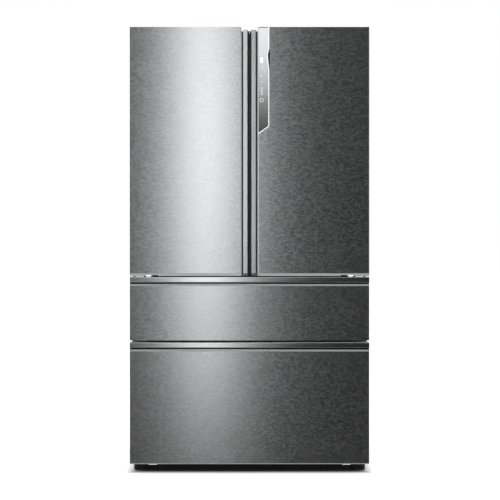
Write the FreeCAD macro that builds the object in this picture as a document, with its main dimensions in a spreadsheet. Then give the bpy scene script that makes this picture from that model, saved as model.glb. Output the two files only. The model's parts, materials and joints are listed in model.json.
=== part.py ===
import FreeCAD, Part
import math
import os
import re
import Sketcher

# French door refrigerator: two doors over two freezer drawers.
# Frame: +X to the right seen from the front, the front faces -Y, +Z up.
# Origin: centre of the footprint on the floor. Every size is in millimetres.

# ---------------------------------------------------------------- driving dimensions

SIZES = [
    # outer body
    ("front_half", 502.5, "half the width across doors and drawers"),
    ("cabinet_half", 500, "half the cabinet width"),
    ("cavity_half", 438, "half the inner width of both liners"),
    ("front_face", -380, "plane of the doors' outer faces"),
    ("leaf_back", -305, "rear face of doors and drawer fronts"),
    ("seal_back", -293.3, "face of the gaskets that meets the cabinet"),
    ("cabinet_front", -293, "front plane of the cabinet"),
    ("cabinet_back", 365, "outer face of the back panel"),
    ("rear_plane", 380, "face of the rear spacers"),
    ("cabinet_bottom", 62, "underside of the cabinet"),
    ("cabinet_top", 1866, "top of the cabinet"),
    ("skin", 1.2, "steel sheet thickness"),
    ("wall", 3, "moulded liner thickness"),
    ("flange", 58, "width of the cabinet's front flange"),
    # fridge room
    ("fridge_floor", 878, "inner floor of the fridge liner"),
    ("fridge_ceiling", 1805, "inner ceiling of the fridge liner"),
    ("cavity_back", 288, "inner rear wall of both liners"),
    ("shelf_front", -150, "front edge of the shelves"),
    ("shelf_back", 255, "rear edge of the shelves"),
    ("shelf_half", 424, "half the width of a glass shelf"),
    ("shelf_low", 1105, "top of the crisper cover shelf"),
    ("shelf_pitch", 228, "height between shelves"),
    ("shelf_rim", 12, "height of a shelf frame"),
    ("glass_thick", 4, "thickness of a glass shelf"),
    ("rim_width", 14, "width of a shelf frame's edge"),
    ("rib_height", 10, "height of a liner rib under a shelf"),
    ("rib_reach", 24, "how far a rib stands out of the liner"),
    # freezer room
    ("freezer_floor", 110, "inner floor of the freezer liner"),
    ("freezer_ceiling", 800, "inner ceiling of the freezer liner"),
    ("step_top", 306, "inner height of the step over the machine room"),
    ("step_front", 140, "inner front face of that step"),
    ("rail_low", 522, "lower edge of the rail between the drawers"),
    ("rail_high", 598, "upper edge of the rail between the drawers"),
    ("rail_deep", 42, "depth of the front cross rails"),
    ("evap_cover_front", 186, "front face of the evaporator cover"),
    # doors
    ("door_low", 835, "underside of the doors' end caps"),
    ("door_skin_low", 846, "lower edge of the doors' steel skin"),
    ("door_high", 1878, "top of the doors"),
    ("hinge_x", 482, "hinge axis, from the centre plane"),
    ("hinge_y", -345, "hinge axis, front to back"),
    ("pin_r", 5, "hinge pin radius"),
    ("pin_clear", 0.08, "running clearance around a pin"),
    ("grip_inner", 7, "grip profile edge beside the centre gap"),
    ("grip_outer", 28, "grip profile edge beside the finger groove"),
    ("skin_inner", 34, "edge of the door skin beside the finger groove"),
    ("grip_bar", 7, "thickness of the grip bar"),
    ("grip_web", 3, "thickness of the grip profile's walls"),
    ("grip_deep", 38, "depth of the grip profile"),
    ("skin_round", 4, "radius of the skin's long edges"),
    ("seal_wide", 18, "width of a gasket"),
    ("seal_side", 476, "outer edge of the gaskets beside the hinge"),
    ("door_seal_low", 856, "lower edge of the door gaskets"),
    ("door_seal_high", 1832, "upper edge of the door gaskets"),
    ("seal_centre", 10, "edge of the door gaskets beside the centre gap"),
    ("dyke_side", 424, "outer edge of the door liners' raised border"),
    ("dyke_low", 884, "lower edge of the raised border"),
    ("dyke_high", 1798, "upper edge of the raised border"),
    ("dyke_centre", 44, "edge of that border beside the centre"),
    ("dyke_back", -255, "rear face of the raised border"),
    ("dyke_wide", 26, "thickness of the raised border"),
    ("bin_back", -205, "rear face of the door bins"),
    ("bin_low", 915, "underside of the lowest door bin"),
    ("bin_pitch", 300, "height between door bins"),
    ("bin_tall", 110, "height of a door bin"),
    ("bin_wall", 2.5, "wall of a door bin"),
    # control strip
    ("strip_left", 35.5, "edge of the control strip beside the groove"),
    ("strip_right", 83, "outer edge of the control strip"),
    ("strip_waist", 77, "outer edge at the notch"),
    ("strip_low_left", 1427, "lower end of the strip, groove side"),
    ("strip_low_right", 1461, "lower end of the strip, outer side"),
    ("notch_low", 1693, "lower end of the notch"),
    ("notch_high", 1785, "upper end of the notch"),
    ("strip_deep", 6, "depth of the control strip"),
    ("bezel_wide", 2.5, "width of the chrome bezel"),
    # drawers
    ("upper_low", 564.4, "underside of the upper drawer front"),
    ("upper_high", 830.4, "top of the upper drawer front"),
    ("lower_low", 50, "underside of the lower drawer front"),
    ("lower_high", 556, "top of the lower drawer front"),
    ("grip_half", 502, "half the length of a drawer's grip profile"),
    ("grip_top", 1866, "upper end of the door grips"),
    ("lip_tilt", 4, "how far the lip under a finger slot leans back"),
    ("bar_tall", 23, "height of a drawer's grip bar"),
    ("slot_tall", 6.5, "height of a drawer's dark finger slot"),
    ("lip_tall", 8, "height of the sloping lip under the slot"),
    ("basket_back", 125, "rear face of the baskets"),
    ("basket_front", -283, "front face of the baskets"),
    ("basket_half", 414, "half the width of a basket"),
    ("basket_wall", 3, "wall of a basket"),
    ("upper_basket_low", 606, "underside of the upper basket"),
    ("upper_basket_high", 780, "rim of the upper basket"),
    ("lower_basket_low", 122, "underside of the lower basket"),
    ("lower_basket_high", 500, "rim of the lower basket"),
    ("tray_low", 419, "underside of the sliding tray"),
    ("tray_high", 488, "rim of the sliding tray"),
    ("tray_front", -62, "front face of the sliding tray"),
    ("ledge_thick", 4, "thickness of the tray's ledges"),
    ("ledge_wide", 14, "width of the tray's ledges"),
    # telescopic slides
    ("slide_front", -286, "front end of the slides"),
    ("slide_back", 132, "rear end of the slides"),
    ("slide_gauge", 1.5, "sheet thickness of the slide members"),
    ("slide_half", 22, "half the height of the fixed channel"),
    ("slide_gap", 1, "clearance between slide members"),
    ("channel_deep", 14, "depth of the fixed channel"),
    ("upper_slide_z", 690, "centre height of the upper drawer's slides"),
    ("lower_slide_z", 350, "centre height of the lower drawer's slides"),
    # mullion
    ("mullion_x", -30, "pivot of the folding mullion"),
    ("mullion_y", -282.5, "pivot of the folding mullion"),
    ("mullion_half", 10, "half the thickness of the mullion"),
    ("mullion_reach", 58, "reach of the mullion from its pivot"),
    ("mullion_low", 884, "lower end of the mullion"),
    ("mullion_high", 1798, "upper end of the mullion"),
    # crispers
    ("crisper_low", 879, "underside of the crispers"),
    ("crisper_high", 1080, "rim of the crispers"),
    ("crisper_wall", 2.5, "wall of a crisper"),
    # base
    ("rail_inner", 446, "inner edge of the base rails"),
    ("rail_outer", 490, "outer edge of the base rails"),
    ("rail_under", 44, "underside of the base rails"),
    ("rail_gauge", 3, "sheet thickness of the base frame"),
    ("foot_x", 478, "levelling foot, from the centre plane"),
    ("foot_y", -255, "levelling foot, front to back"),
    ("foot_r", 18, "radius of a levelling foot's pad"),
    ("stud_r", 5, "radius of a levelling foot's stud"),
    ("roller_y", 330, "roller axle, front to back"),
    ("roller_r", 20, "radius of a rear roller"),
    ("axle_r", 4, "radius of a roller axle"),
    ("kick_half", 444, "half the width of the kick plate between the rails"),
    ("kick_wing", 460, "half its width below the rails, beside the feet"),
    ("kick_low", 3, "lower edge of the kick plate"),
    ("kick_high", 47, "upper edge of the kick plate"),
    ("kick_front", -270, "front face of the kick plate"),
    ("kick_thick", 8, "thickness of the kick plate"),
    # hinges
    ("cover_top", 1880, "top of the hinge covers"),
    ("cover_wall", 2, "wall of a hinge cover"),
    ("cover_inner", 444, "inner edge of a hinge cover"),
    ("cover_outer", 496, "outer edge of a hinge cover"),
    ("notch_inner", 434, "inner edge of the door's corner notch for the top hinge"),
    ("notch_floor", 1866.5, "floor of that corner notch"),
    ("cover_front", -368, "front end of a hinge cover"),
    ("cover_back", -190, "rear end of a hinge cover"),
    ("plate_thick", 4, "thickness of a hinge plate"),
    ("plate_low", 1869, "underside of the top hinge plates"),
    ("middle_low", 831, "underside of the middle hinge plates"),
    ("middle_thick", 2.8, "thickness of the middle hinge plates"),
    ("middle_inner", 380, "inner end of the middle hinge plates"),
    ("screw_r", 3, "radius of a hinge screw's shank"),
    ("screw_head_r", 6, "radius of a hinge screw's head"),
    ("screw_head", 3, "height of a hinge screw's head"),
    # machine room
    ("machine_top", 292, "ceiling of the machine room"),
    ("machine_front", 150, "front wall of the machine room"),
    ("compressor_x", 230, "compressor axis"),
    ("compressor_y", 258, "compressor axis, front to back"),
    ("compressor_r", 78, "radius of the compressor shell"),
    ("compressor_tall", 175, "height of the compressor shell"),
    ("fan_r", 72, "radius of the condenser fan"),
    ("fan_x", -40, "centre of the condenser fan"),
    ("fan_z", 162, "height of the condenser fan's axle"),
    ("ice_fan_r", 58, "radius of the evaporator fan"),
    ("ice_fan_z", 660, "height of the evaporator fan's axle"),
    ("blade_thick", 2.4, "thickness of a fan blade"),
    ("hub_r", 20, "radius of a fan hub"),
    ("motor_r", 24, "radius of a fan motor"),
    ("shaft_r", 3, "radius of a fan motor's shaft"),
]

doc = FreeCAD.newDocument("french_door_refrigerator")
dims = doc.addObject("Spreadsheet::Sheet", "dims")
for row, (alias, number, meaning) in enumerate(SIZES, start=1):
    dims.set(f"A{row}", meaning)
    dims.set(f"B{row}", str(number))
    dims.setAlias(f"B{row}", alias)
doc.recompute()

pieces = []


# ---------------------------------------------------------------- helpers

def link(expression):
    """Point every word of an expression at the sheet's cell of that name."""
    return re.sub(r"[a-z][a-z_]*", lambda word: "dims." + word.group(), str(expression))


def bind(target, prop, expression):
    target.setExpression(prop, link(expression))


def size(alias):
    return float(dims.get(alias))


def piece(label, shape_object):
    """Name a finished sub-part; the label also names its file."""
    shape_object.Label = label
    pieces.append(shape_object)
    return shape_object


def box(name, x_span, y_span, z_span):
    """A block from its low to its high corner."""
    block = doc.addObject("Part::Box", name)
    spans = (("Length", "x", x_span), ("Width", "y", y_span), ("Height", "z", z_span))
    for length, axis, (low, high) in spans:
        bind(block, length, f"({high}) - ({low})")
        bind(block, "Placement.Base." + axis, low)
    return block


def cylinder(name, radius, base, height, direction="z"):
    """A cylinder from its base centre, standing along one of the axes."""
    rod = doc.addObject("Part::Cylinder", name)
    turn = {
        "x": FreeCAD.Rotation(FreeCAD.Vector(0, 1, 0), 90),
        "y": FreeCAD.Rotation(FreeCAD.Vector(1, 0, 0), -90),
        "z": FreeCAD.Rotation(),
    }
    rod.Placement = FreeCAD.Placement(FreeCAD.Vector(), turn[direction])
    bind(rod, "Radius", radius)
    bind(rod, "Height", height)
    for axis, place in zip("xyz", base):
        bind(rod, "Placement.Base." + axis, place)
    return rod


def fuse(name, *solids):
    union = doc.addObject("Part::MultiFuse", name)
    union.Shapes = list(solids)
    union.Refine = True
    return union


def cut(name, base, *tools):
    """Take the tools out of the base, one union of them at a time."""
    hollow = doc.addObject("Part::Cut", name)
    hollow.Base = base
    hollow.Tool = tools[0] if len(tools) == 1 else fuse(name + "_tools", *tools)
    return hollow


def mirrored(name, source):
    """The same sub-part on the other side of the centre plane."""
    copy = doc.addObject("Part::Mirroring", name)
    copy.Source = source
    copy.Normal = FreeCAD.Vector(1, 0, 0)
    return copy


def group(name, *solids):
    bundle = doc.addObject("Part::Compound", name)
    bundle.Links = list(solids)
    return bundle


def both_sides(name, source):
    return group(name, source, mirrored(name + "_mirror", source))


def outline(sketch, corners):
    """A closed polygon, each corner pinned to the sketch origin by two sizes."""
    first = sketch.GeometryCount
    count = len(corners)
    ring = [FreeCAD.Vector(math.cos(turn), math.sin(turn), 0) * 100
            for turn in (2 * math.pi * i / count for i in range(count))]
    for i in range(count):
        sketch.addGeometry(Part.LineSegment(ring[i], ring[(i + 1) % count]), False)
    for i, (across, up) in enumerate(corners):
        line = first + i
        before = first + (i - 1) % count
        sketch.addConstraint(Sketcher.Constraint("Coincident", line, 1, before, 2))
        for kind, start, place in (("DistanceX", ring[i].x, across), ("DistanceY", ring[i].y, up)):
            number = sketch.addConstraint(Sketcher.Constraint(kind, -1, 1, line, 1, start))
            bind(sketch, f"Constraints[{number}]", place)


def rectangle(across, up):
    return [(across[0], up[0]), (across[1], up[0]), (across[1], up[1]), (across[0], up[1])]


def ring_circle(sketch, centre, radius):
    """A circle whose centre is pinned to the sketch origin."""
    curve = sketch.addGeometry(Part.Circle(FreeCAD.Vector(10, 10, 0), FreeCAD.Vector(0, 0, 1), 5), False)
    for kind, place in (("DistanceX", centre[0]), ("DistanceY", centre[1])):
        number = sketch.addConstraint(Sketcher.Constraint(kind, -1, 1, curve, 3, 10))
        bind(sketch, f"Constraints[{number}]", place)
    number = sketch.addConstraint(Sketcher.Constraint("Radius", curve, 5))
    bind(sketch, f"Constraints[{number}]", radius)


def sketch_on(body, plane, offset, loops, circles=()):
    """A sketch on a plane of the body's origin, moved along that plane's normal."""
    sketch = body.newObject("Sketcher::SketchObject", body.Name + "_sketch")
    support = next(item for item in body.Origin.OriginFeatures if item.Role == plane + "_Plane")
    sketch.AttachmentSupport = (support, [""])
    sketch.MapMode = "FlatFace"
    bind(sketch, "AttachmentOffset.Base.z", offset)
    for corners in loops:
        outline(sketch, corners)
    for centre, radius in circles:
        ring_circle(sketch, centre, radius)
    return sketch


def new_body(name):
    return doc.addObject("PartDesign::Body", name)


def pad(body, plane, low, high, loops=(), circles=()):
    """Material between two planes. The XZ plane looks along -Y, so it starts at the far one."""
    start = f"-({high})" if plane == "XZ" else low
    feature = body.newObject("PartDesign::Pad", body.Name + "_pad")
    feature.Profile = sketch_on(body, plane, start, loops, circles)
    bind(feature, "Length", f"({high}) - ({low})")
    body.Tip = feature
    return feature


def pocket(body, plane, low, high, loops=(), circles=()):
    """A cut between two planes. A pocket goes against its plane's normal."""
    start = f"-({low})" if plane == "XZ" else high
    feature = body.newObject("PartDesign::Pocket", body.Name + "_pocket")
    feature.Profile = sketch_on(body, plane, start, loops, circles)
    bind(feature, "Length", f"({high}) - ({low})")
    body.Tip = feature
    return feature


def revolve(body, plane, offset, loops):
    """Turn a profile about the sketch's own vertical axis."""
    sketch = sketch_on(body, plane, offset, loops)
    feature = body.newObject("PartDesign::Revolution", body.Name + "_turned")
    feature.Profile = sketch
    feature.ReferenceAxis = (sketch, ["V_Axis"])
    feature.Angle = 360
    body.Tip = feature
    return feature


def repeat_along(body, feature, axis, spacing, count):
    """A row of copies of a feature along one axis of its sketch."""
    row = body.newObject("PartDesign::LinearPattern", body.Name + "_row")
    row.Originals = [feature]
    row.Direction = (feature.Profile[0], [axis])
    row.Occurrences = count
    bind(row, "Length", f"({spacing}) * {count - 1}")
    body.Tip = row
    return row


def round_edges(body, radius, chosen):
    """Fillet the edges of the body's last feature that the test picks."""
    doc.recompute()
    base = body.Tip
    names = [f"Edge{i}" for i, edge in enumerate(base.Shape.Edges, start=1) if chosen(edge)]
    fillet = body.newObject("PartDesign::Fillet", body.Name + "_round")
    fillet.Base = (base, names)
    bind(fillet, "Radius", radius)
    body.Tip = fillet
    return fillet


def runs_along(edge, axis):
    """True for a straight edge along the given axis."""
    if not isinstance(edge.Curve, Part.Line):
        return False
    direction = edge.Curve.Direction
    return abs(getattr(direction, axis)) > 0.999


def middle(edge):
    return edge.CenterOfMass


def plain_pad(name, plane, low, high, loops=(), circles=()):
    """A body made by one pad."""
    body = new_body(name)
    pad(body, plane, low, high, loops, circles)
    return body


def open_tray(name, x_span, y_span, z_span, wall):
    """A box open at the top, with rounded upright corners."""
    body = new_body(name)
    pad(body, "XY", z_span[0], z_span[1], [rectangle(x_span, y_span)])
    inside = rectangle((f"{x_span[0]} + {wall}", f"{x_span[1]} - {wall}"),
                       (f"{y_span[0]} + {wall}", f"{y_span[1]} - {wall}"))
    pocket(body, "XY", f"{z_span[0]} + {wall}", f"{z_span[1]} + 1", [inside])
    return body


# ---------------------------------------------------------------- cabinet

def cabinet_shell():
    """Wrapped sheet: top, sides and floor, with a flange around the front opening."""
    body = new_body("shell_body")
    outer = rectangle(("-cabinet_half", "cabinet_half"), ("cabinet_bottom", "cabinet_top"))
    inner = rectangle(("skin - cabinet_half", "cabinet_half - skin"),
                      ("cabinet_bottom + skin", "cabinet_top - skin"))
    pad(body, "XZ", "cabinet_front", "cabinet_back - skin", [outer, inner])
    opening = rectangle(("flange - cabinet_half", "cabinet_half - flange"),
                        ("freezer_floor - wall", "fridge_ceiling + wall"))
    pad(body, "XZ", "cabinet_front", "cabinet_front + skin", [outer, opening])
    pocket(body, "XY", "cabinet_bottom - 1", "cabinet_bottom + skin",
           [rectangle(("skin - cabinet_half", "cabinet_half - skin"),
                      ("machine_front", "cabinet_back"))])
    return piece("cabinet_shell", body)


def back_panel():
    body = plain_pad("back_body", "XZ", "cabinet_back - skin", "cabinet_back",
                     [rectangle(("-cabinet_half", "cabinet_half"), ("machine_top", "cabinet_top"))])
    piece("back_panel", body)
    spacer = plain_pad("spacer_body", "XY", "1500", "1620",
                       [rectangle(("300", "350"), ("cabinet_back", "rear_plane"))])
    round_edges(spacer, "6", lambda edge: runs_along(edge, "z")
                and middle(edge).y > size("cabinet_back") + 1)
    piece("rear_spacers", both_sides("spacers", spacer))


def liner_rib(level, name):
    """The ledge that one end of a shelf stands on."""
    return box(name, ("cavity_half - rib_reach", "cavity_half"), ("shelf_front + 5", "shelf_back - 5"),
               (f"{level} - shelf_rim - rib_height", f"{level} - shelf_rim"))


SHELF_LEVELS = ["shelf_low", "shelf_low + shelf_pitch", "shelf_low + 2 * shelf_pitch"]


def fridge_liner():
    shell = new_body("fridge_liner_shell")
    outer = rectangle(("-cavity_half - wall", "cavity_half + wall"),
                      ("fridge_floor - wall", "fridge_ceiling + wall"))
    inner = rectangle(("-cavity_half", "cavity_half"), ("fridge_floor", "fridge_ceiling"))
    pad(shell, "XZ", "cabinet_front + skin", "cavity_back + wall", [outer])
    pocket(shell, "XZ", "cabinet_front", "cavity_back", [inner])
    ribs = [liner_rib(level, f"rib_{i}") for i, level in enumerate(SHELF_LEVELS)]
    mirrors = [mirrored(rib.Name + "_left", rib) for rib in ribs]
    return piece("fridge_liner", fuse("fridge_liner_all", shell, *ribs, *mirrors))


def step_profile(grow):
    """Side view of the freezer room: a step at the rear leaves room for the machine room."""
    front = "cabinet_front + skin" if grow else "cabinet_front - 5"
    add = " + wall" if grow else ""
    less = " - wall" if grow else ""
    return [(front, "freezer_floor" + less), ("step_front" + add, "freezer_floor" + less),
            ("step_front" + add, "step_top" + less), ("cavity_back" + add, "step_top" + less),
            ("cavity_back" + add, "freezer_ceiling" + add), (front, "freezer_ceiling" + add)]


def freezer_liner():
    body = new_body("freezer_liner_body")
    pad(body, "YZ", "-cavity_half - wall", "cavity_half + wall", [step_profile(True)])
    pocket(body, "YZ", "-cavity_half", "cavity_half", [step_profile(False)])
    return piece("freezer_liner", body)


def front_cross_rails():
    """The wide bar between the rooms and the bar between the two drawers."""
    wide = plain_pad("room_rail", "XZ", "cabinet_front", "cabinet_front + rail_deep",
                     [rectangle(("-cavity_half - wall", "cavity_half + wall"),
                                ("freezer_ceiling + wall", "fridge_floor - wall"))])
    narrow = plain_pad("drawer_rail", "XZ", "cabinet_front", "cabinet_front + rail_deep",
                       [rectangle(("-cavity_half", "cavity_half"), ("rail_low", "rail_high"))])
    round_edges(narrow, "3", lambda edge: runs_along(edge, "x")
                and middle(edge).y > size("cabinet_front") + 1)
    return piece("front_cross_rails", group("cross_rails", wide, narrow))


def insulation_foam():
    """Foamed in one shot between the shell and the liners."""
    block = box("foam_block", ("skin - cabinet_half", "cabinet_half - skin"),
                ("cabinet_front + skin", "cabinet_back - skin"),
                ("cabinet_bottom + skin", "cabinet_top - skin"))
    fridge = box("foam_fridge", ("-cavity_half - wall", "cavity_half + wall"),
                 ("cabinet_front - 1", "cavity_back + wall"),
                 ("fridge_floor - wall", "fridge_ceiling + wall"))
    freezer = plain_pad("foam_freezer", "YZ", "-cavity_half - wall", "cavity_half + wall",
                        [step_profile(True)])
    rail = box("foam_rail", ("-cavity_half - wall", "cavity_half + wall"),
               ("cabinet_front - 1", "cabinet_front + rail_deep"),
               ("freezer_ceiling + wall", "fridge_floor - wall"))
    machine = box("foam_machine", ("-cabinet_half", "cabinet_half"),
                  ("machine_front", "cabinet_back"), ("cabinet_bottom", "machine_top"))
    return piece("insulation_foam", cut("foam", block, fridge, freezer, rail, machine))


def air_duct_cover():
    body = new_body("duct_body")
    pad(body, "XZ", "cavity_back - 16", "cavity_back",
        [rectangle(("-165", "165"), ("fridge_floor + 22", "fridge_ceiling - 25"))])
    round_edges(body, "9", lambda edge: runs_along(edge, "z") and middle(edge).y < size("cavity_back") - 1)
    slot = pocket(body, "XZ", "cavity_back - 17", "cavity_back - 8",
                  [rectangle(("-95", "95"), ("shelf_low + 60", "shelf_low + 67"))])
    repeat_along(body, slot, "V_Axis", "56", 10)
    return piece("air_duct_cover", body)


def light_strips():
    body = plain_pad("strip_body", "XY", "shelf_low + 45", "fridge_ceiling - 25",
                     [rectangle(("cavity_half - 4", "cavity_half"), ("-192", "-170"))])
    round_edges(body, "2.5", lambda edge: runs_along(edge, "z")
                and middle(edge).x < size("cavity_half") - 1)
    return piece("light_strips", both_sides("strips", body))


def shelves():
    plates = []
    frames = []
    for i, level in enumerate(SHELF_LEVELS):
        plate = plain_pad(f"glass_{i}", "XY", f"{level} - glass_thick", level,
                          [rectangle(("rim_width / 2 - shelf_half", "shelf_half - rim_width / 2"),
                                     ("shelf_front + rim_width / 2", "shelf_back - rim_width / 2"))])
        plates.append(plate)
        rim = new_body(f"shelf_rim_{i}")
        pad(rim, "XY", f"{level} - shelf_rim", f"{level} + 1",
            [rectangle(("-shelf_half", "shelf_half"), ("shelf_front", "shelf_back"))])
        pocket(rim, "XY", f"{level} - shelf_rim - 1", f"{level} + 2",
               [rectangle(("rim_width - shelf_half", "shelf_half - rim_width"),
                          ("shelf_front + rim_width", "shelf_back - rim_width"))])
        pocket(rim, "XY", f"{level} - glass_thick", f"{level} + 2",
               [rectangle(("rim_width / 2 - shelf_half", "shelf_half - rim_width / 2"),
                          ("shelf_front + rim_width / 2", "shelf_back - rim_width / 2"))])
        round_edges(rim, "4", lambda edge: runs_along(edge, "z")
                    and abs(abs(middle(edge).x) - size("shelf_half")) < 0.1)
        frames.append(rim)
    piece("shelf_glass", group("glass_plates", *plates))
    piece("shelf_frames", group("shelf_rims", *frames))


# ---------------------------------------------------------------- base

def base_frame():
    """Two rails open underneath, a front member, the compressor plate and the axle ears."""
    rail = box("rail", ("rail_inner", "rail_outer"), ("-285", "355"), ("rail_under", "cabinet_bottom"))
    hollow = box("rail_hollow", ("rail_inner + rail_gauge", "rail_outer - rail_gauge"), ("-282", "352"),
                 ("rail_under - 1", "cabinet_bottom - rail_gauge"))
    channel = cut("rail_channel", rail, hollow)
    boss = cylinder("foot_boss", "11", ("foot_x", "foot_y", "rail_under"),
                    "cabinet_bottom - rail_under - rail_gauge")
    ears = [box(f"ear_{i}", (inner, f"{inner} + rail_gauge"), ("roller_y - 22", "roller_y + 22"),
                ("10", "rail_under + 2"))
            for i, inner in enumerate(("rail_inner", "rail_outer - rail_gauge"))]
    axle = cylinder("roller_axle", "axle_r", ("rail_inner", "roller_y", "roller_r"),
                    "rail_outer - rail_inner", "x")
    side = fuse("rail_side", channel, boss, axle, *ears)
    stud_hole = cylinder("stud_hole", "stud_r + 0.3", ("foot_x", "foot_y", "rail_under - 2"), "30")
    drilled = cut("rail_drilled", side, stud_hole)
    front = box("front_member", ("-rail_inner", "rail_inner"), ("kick_front + kick_thick", "-222"),
                ("rail_under", "cabinet_bottom"))
    plate = box("compressor_plate", ("-rail_inner", "rail_inner"), ("machine_front", "355"),
                ("cabinet_bottom - rail_gauge", "cabinet_bottom"))
    return piece("base_frame", fuse("frame_all", drilled, mirrored("rail_left", drilled), front, plate))


def kick_plate():
    body = new_body("kick_body")
    pad(body, "XZ", "kick_front", "kick_front + kick_thick",
        [[("-kick_wing", "kick_low"), ("kick_wing", "kick_low"), ("kick_wing", "rail_under - 1"),
          ("kick_half", "rail_under - 1"), ("kick_half", "kick_high"), ("-kick_half", "kick_high"),
          ("-kick_half", "rail_under - 1"), ("-kick_wing", "rail_under - 1")]])
    piece("kick_plate", body)


def levelling_foot():
    """A pad and stud turned in one piece; the stud screws into the base rail."""
    body = new_body("foot_body")
    profile = [("0", "0"), ("foot_r - 2", "0"), ("foot_r", "2"), ("foot_r", "24"), ("foot_r - 3", "27"),
               ("stud_r", "27"), ("stud_r", "cabinet_bottom - 6"), ("0", "cabinet_bottom - 6")]
    revolve(body, "XZ", "0", [profile])
    bind(body, "Placement.Base.x", "foot_x")
    bind(body, "Placement.Base.y", "foot_y")
    piece("foot_right", body)
    piece("foot_left", mirrored("foot_mirror", body))


def rear_rollers():
    body = new_body("roller_body")
    half = "(rail_outer - rail_inner) / 2 - rail_gauge - 3"
    profile = [("axle_r + pin_clear", f"-({half})"), ("roller_r - 2", f"-({half})"),
               ("roller_r", f"2 - ({half})"), ("roller_r", f"({half}) - 2"),
               ("roller_r - 2", half), ("axle_r + pin_clear", half)]
    revolve(body, "XZ", "0", [profile])
    body.Placement.Rotation = FreeCAD.Rotation(FreeCAD.Vector(0, 1, 0), 90)
    bind(body, "Placement.Base.x", "(rail_inner + rail_outer) / 2")
    bind(body, "Placement.Base.y", "roller_y")
    bind(body, "Placement.Base.z", "roller_r")
    return piece("rear_rollers", both_sides("rollers", body))


# ---------------------------------------------------------------- hinges

TOP_SCREWS = [("476", "-272"), ("476", "-216"), ("462", "-244")]
MIDDLE_SCREWS = [("400", "845"), ("440", "845"), ("488", "845")]


def screw(name, place, base, thick, direction):
    """A flanged screw whose shank fills the plate; the head stands on its outer face."""
    x, y, z = place
    if direction == "z":
        shank = cylinder(name + "_shank", "screw_r", (x, y, base), thick)
        head = cylinder(name + "_head", "screw_head_r", (x, y, f"{base} + {thick}"), "screw_head")
    else:
        shank = cylinder(name + "_shank", "screw_r", (x, f"{base} - {thick}", z), thick, "y")
        head = cylinder(name + "_head", "screw_head_r", (x, f"{base} - {thick} - screw_head", z),
                        "screw_head", "y")
    return fuse(name, shank, head)


def top_hinges():
    """A plate standing on the cabinet top reaches over the door and carries its pin."""
    stand = box("hinge_stand", ("450", "492"), ("cabinet_front + 3", "-200"), ("cabinet_top", "plate_low"))
    arm = new_body("hinge_arm")
    pad(arm, "XY", "plate_low", "plate_low + plate_thick",
        [[("450", "-200"), ("492", "-200"), ("492", "hinge_y - 10"), ("hinge_x - 14", "hinge_y - 10"),
          ("hinge_x - 14", "hinge_y + 20"), ("450", "cabinet_front + 3")]])
    pin = cylinder("top_pin", "pin_r", ("hinge_x", "hinge_y", "notch_floor - 16"),
                   "plate_low - notch_floor + 18")
    holes = [cylinder(f"top_hole_{i}", "screw_r + 0.2", (x, y, "cabinet_top - 1"), "40")
             for i, (x, y) in enumerate(TOP_SCREWS)]
    hinge = cut("top_hinge", fuse("top_hinge_blank", stand, arm, pin), *holes)
    return piece("top_hinges", both_sides("top_hinge_pair", hinge))


def hinge_covers():
    body = new_body("cover_body")
    over_door = "notch_floor + 0.6"
    pad(body, "YZ", "cover_inner", "cover_outer",
        [[("cover_back", "cabinet_top"), ("cover_back", "cover_top"), ("cover_front", "cover_top"),
          ("cover_front", over_door), ("cabinet_front + 0.5", over_door),
          ("cabinet_front + 0.5", "cabinet_top")]])
    pocket(body, "YZ", "cover_inner + cover_wall", "cover_outer - cover_wall",
           [[("cover_back - cover_wall", "cabinet_top - 1"),
             ("cover_back - cover_wall", "cover_top - cover_wall"),
             ("cover_front + cover_wall", "cover_top - cover_wall"),
             ("cover_front + cover_wall", "notch_floor - 1"), ("cabinet_front + 2.5", "notch_floor - 1"),
             ("cabinet_front + 2.5", "cabinet_top - 1")]])
    round_edges(body, "3", lambda edge: runs_along(edge, "y")
                and abs(middle(edge).z - size("cover_top")) < 0.1)
    return piece("hinge_covers", both_sides("covers", body))


def middle_hinges():
    """A bracket on the cabinet's face carries the pin that enters the door from below."""
    plate = new_body("middle_plate")
    pad(plate, "XY", "middle_low", "middle_low + middle_thick",
        [[("front_half - 2.5", "hinge_y - 18"), ("hinge_x - 16", "hinge_y - 18"),
          ("hinge_x - 30", "hinge_y + 4"), ("middle_inner", "hinge_y + 14"),
          ("middle_inner", "cabinet_front"), ("front_half - 2.5", "cabinet_front")]])
    flange = box("middle_flange", ("middle_inner", "front_half - 2.5"),
                 ("cabinet_front - 3", "cabinet_front"), ("middle_low - 5", "853"))
    pin = cylinder("middle_pin", "pin_r", ("hinge_x", "hinge_y", "middle_low + 1"), "24")
    holes = [cylinder(f"middle_hole_{i}", "screw_r + 0.2", (x, "cabinet_front - 4", z), "8", "y")
             for i, (x, z) in enumerate(MIDDLE_SCREWS)]
    blank = fuse("middle_blank", plate, flange, pin)
    return piece("middle_hinges", both_sides("middle_pair", cut("middle_hinge", blank, *holes)))


def hinge_screws():
    clamped = "(plate_low + plate_thick - cabinet_top)"
    tops = [screw(f"top_screw_{i}", (x, y, "0"), "cabinet_top", clamped, "z")
            for i, (x, y) in enumerate(TOP_SCREWS)]
    middles = [screw(f"middle_screw_{i}", (x, "0", z), "cabinet_front", "3", "y")
               for i, (x, z) in enumerate(MIDDLE_SCREWS)]
    mirrors = [mirrored(item.Name + "_left", item) for item in tops + middles]
    return piece("hinge_screws", group("screws", *tops, *middles, *mirrors))


# ---------------------------------------------------------------- doors

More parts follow.
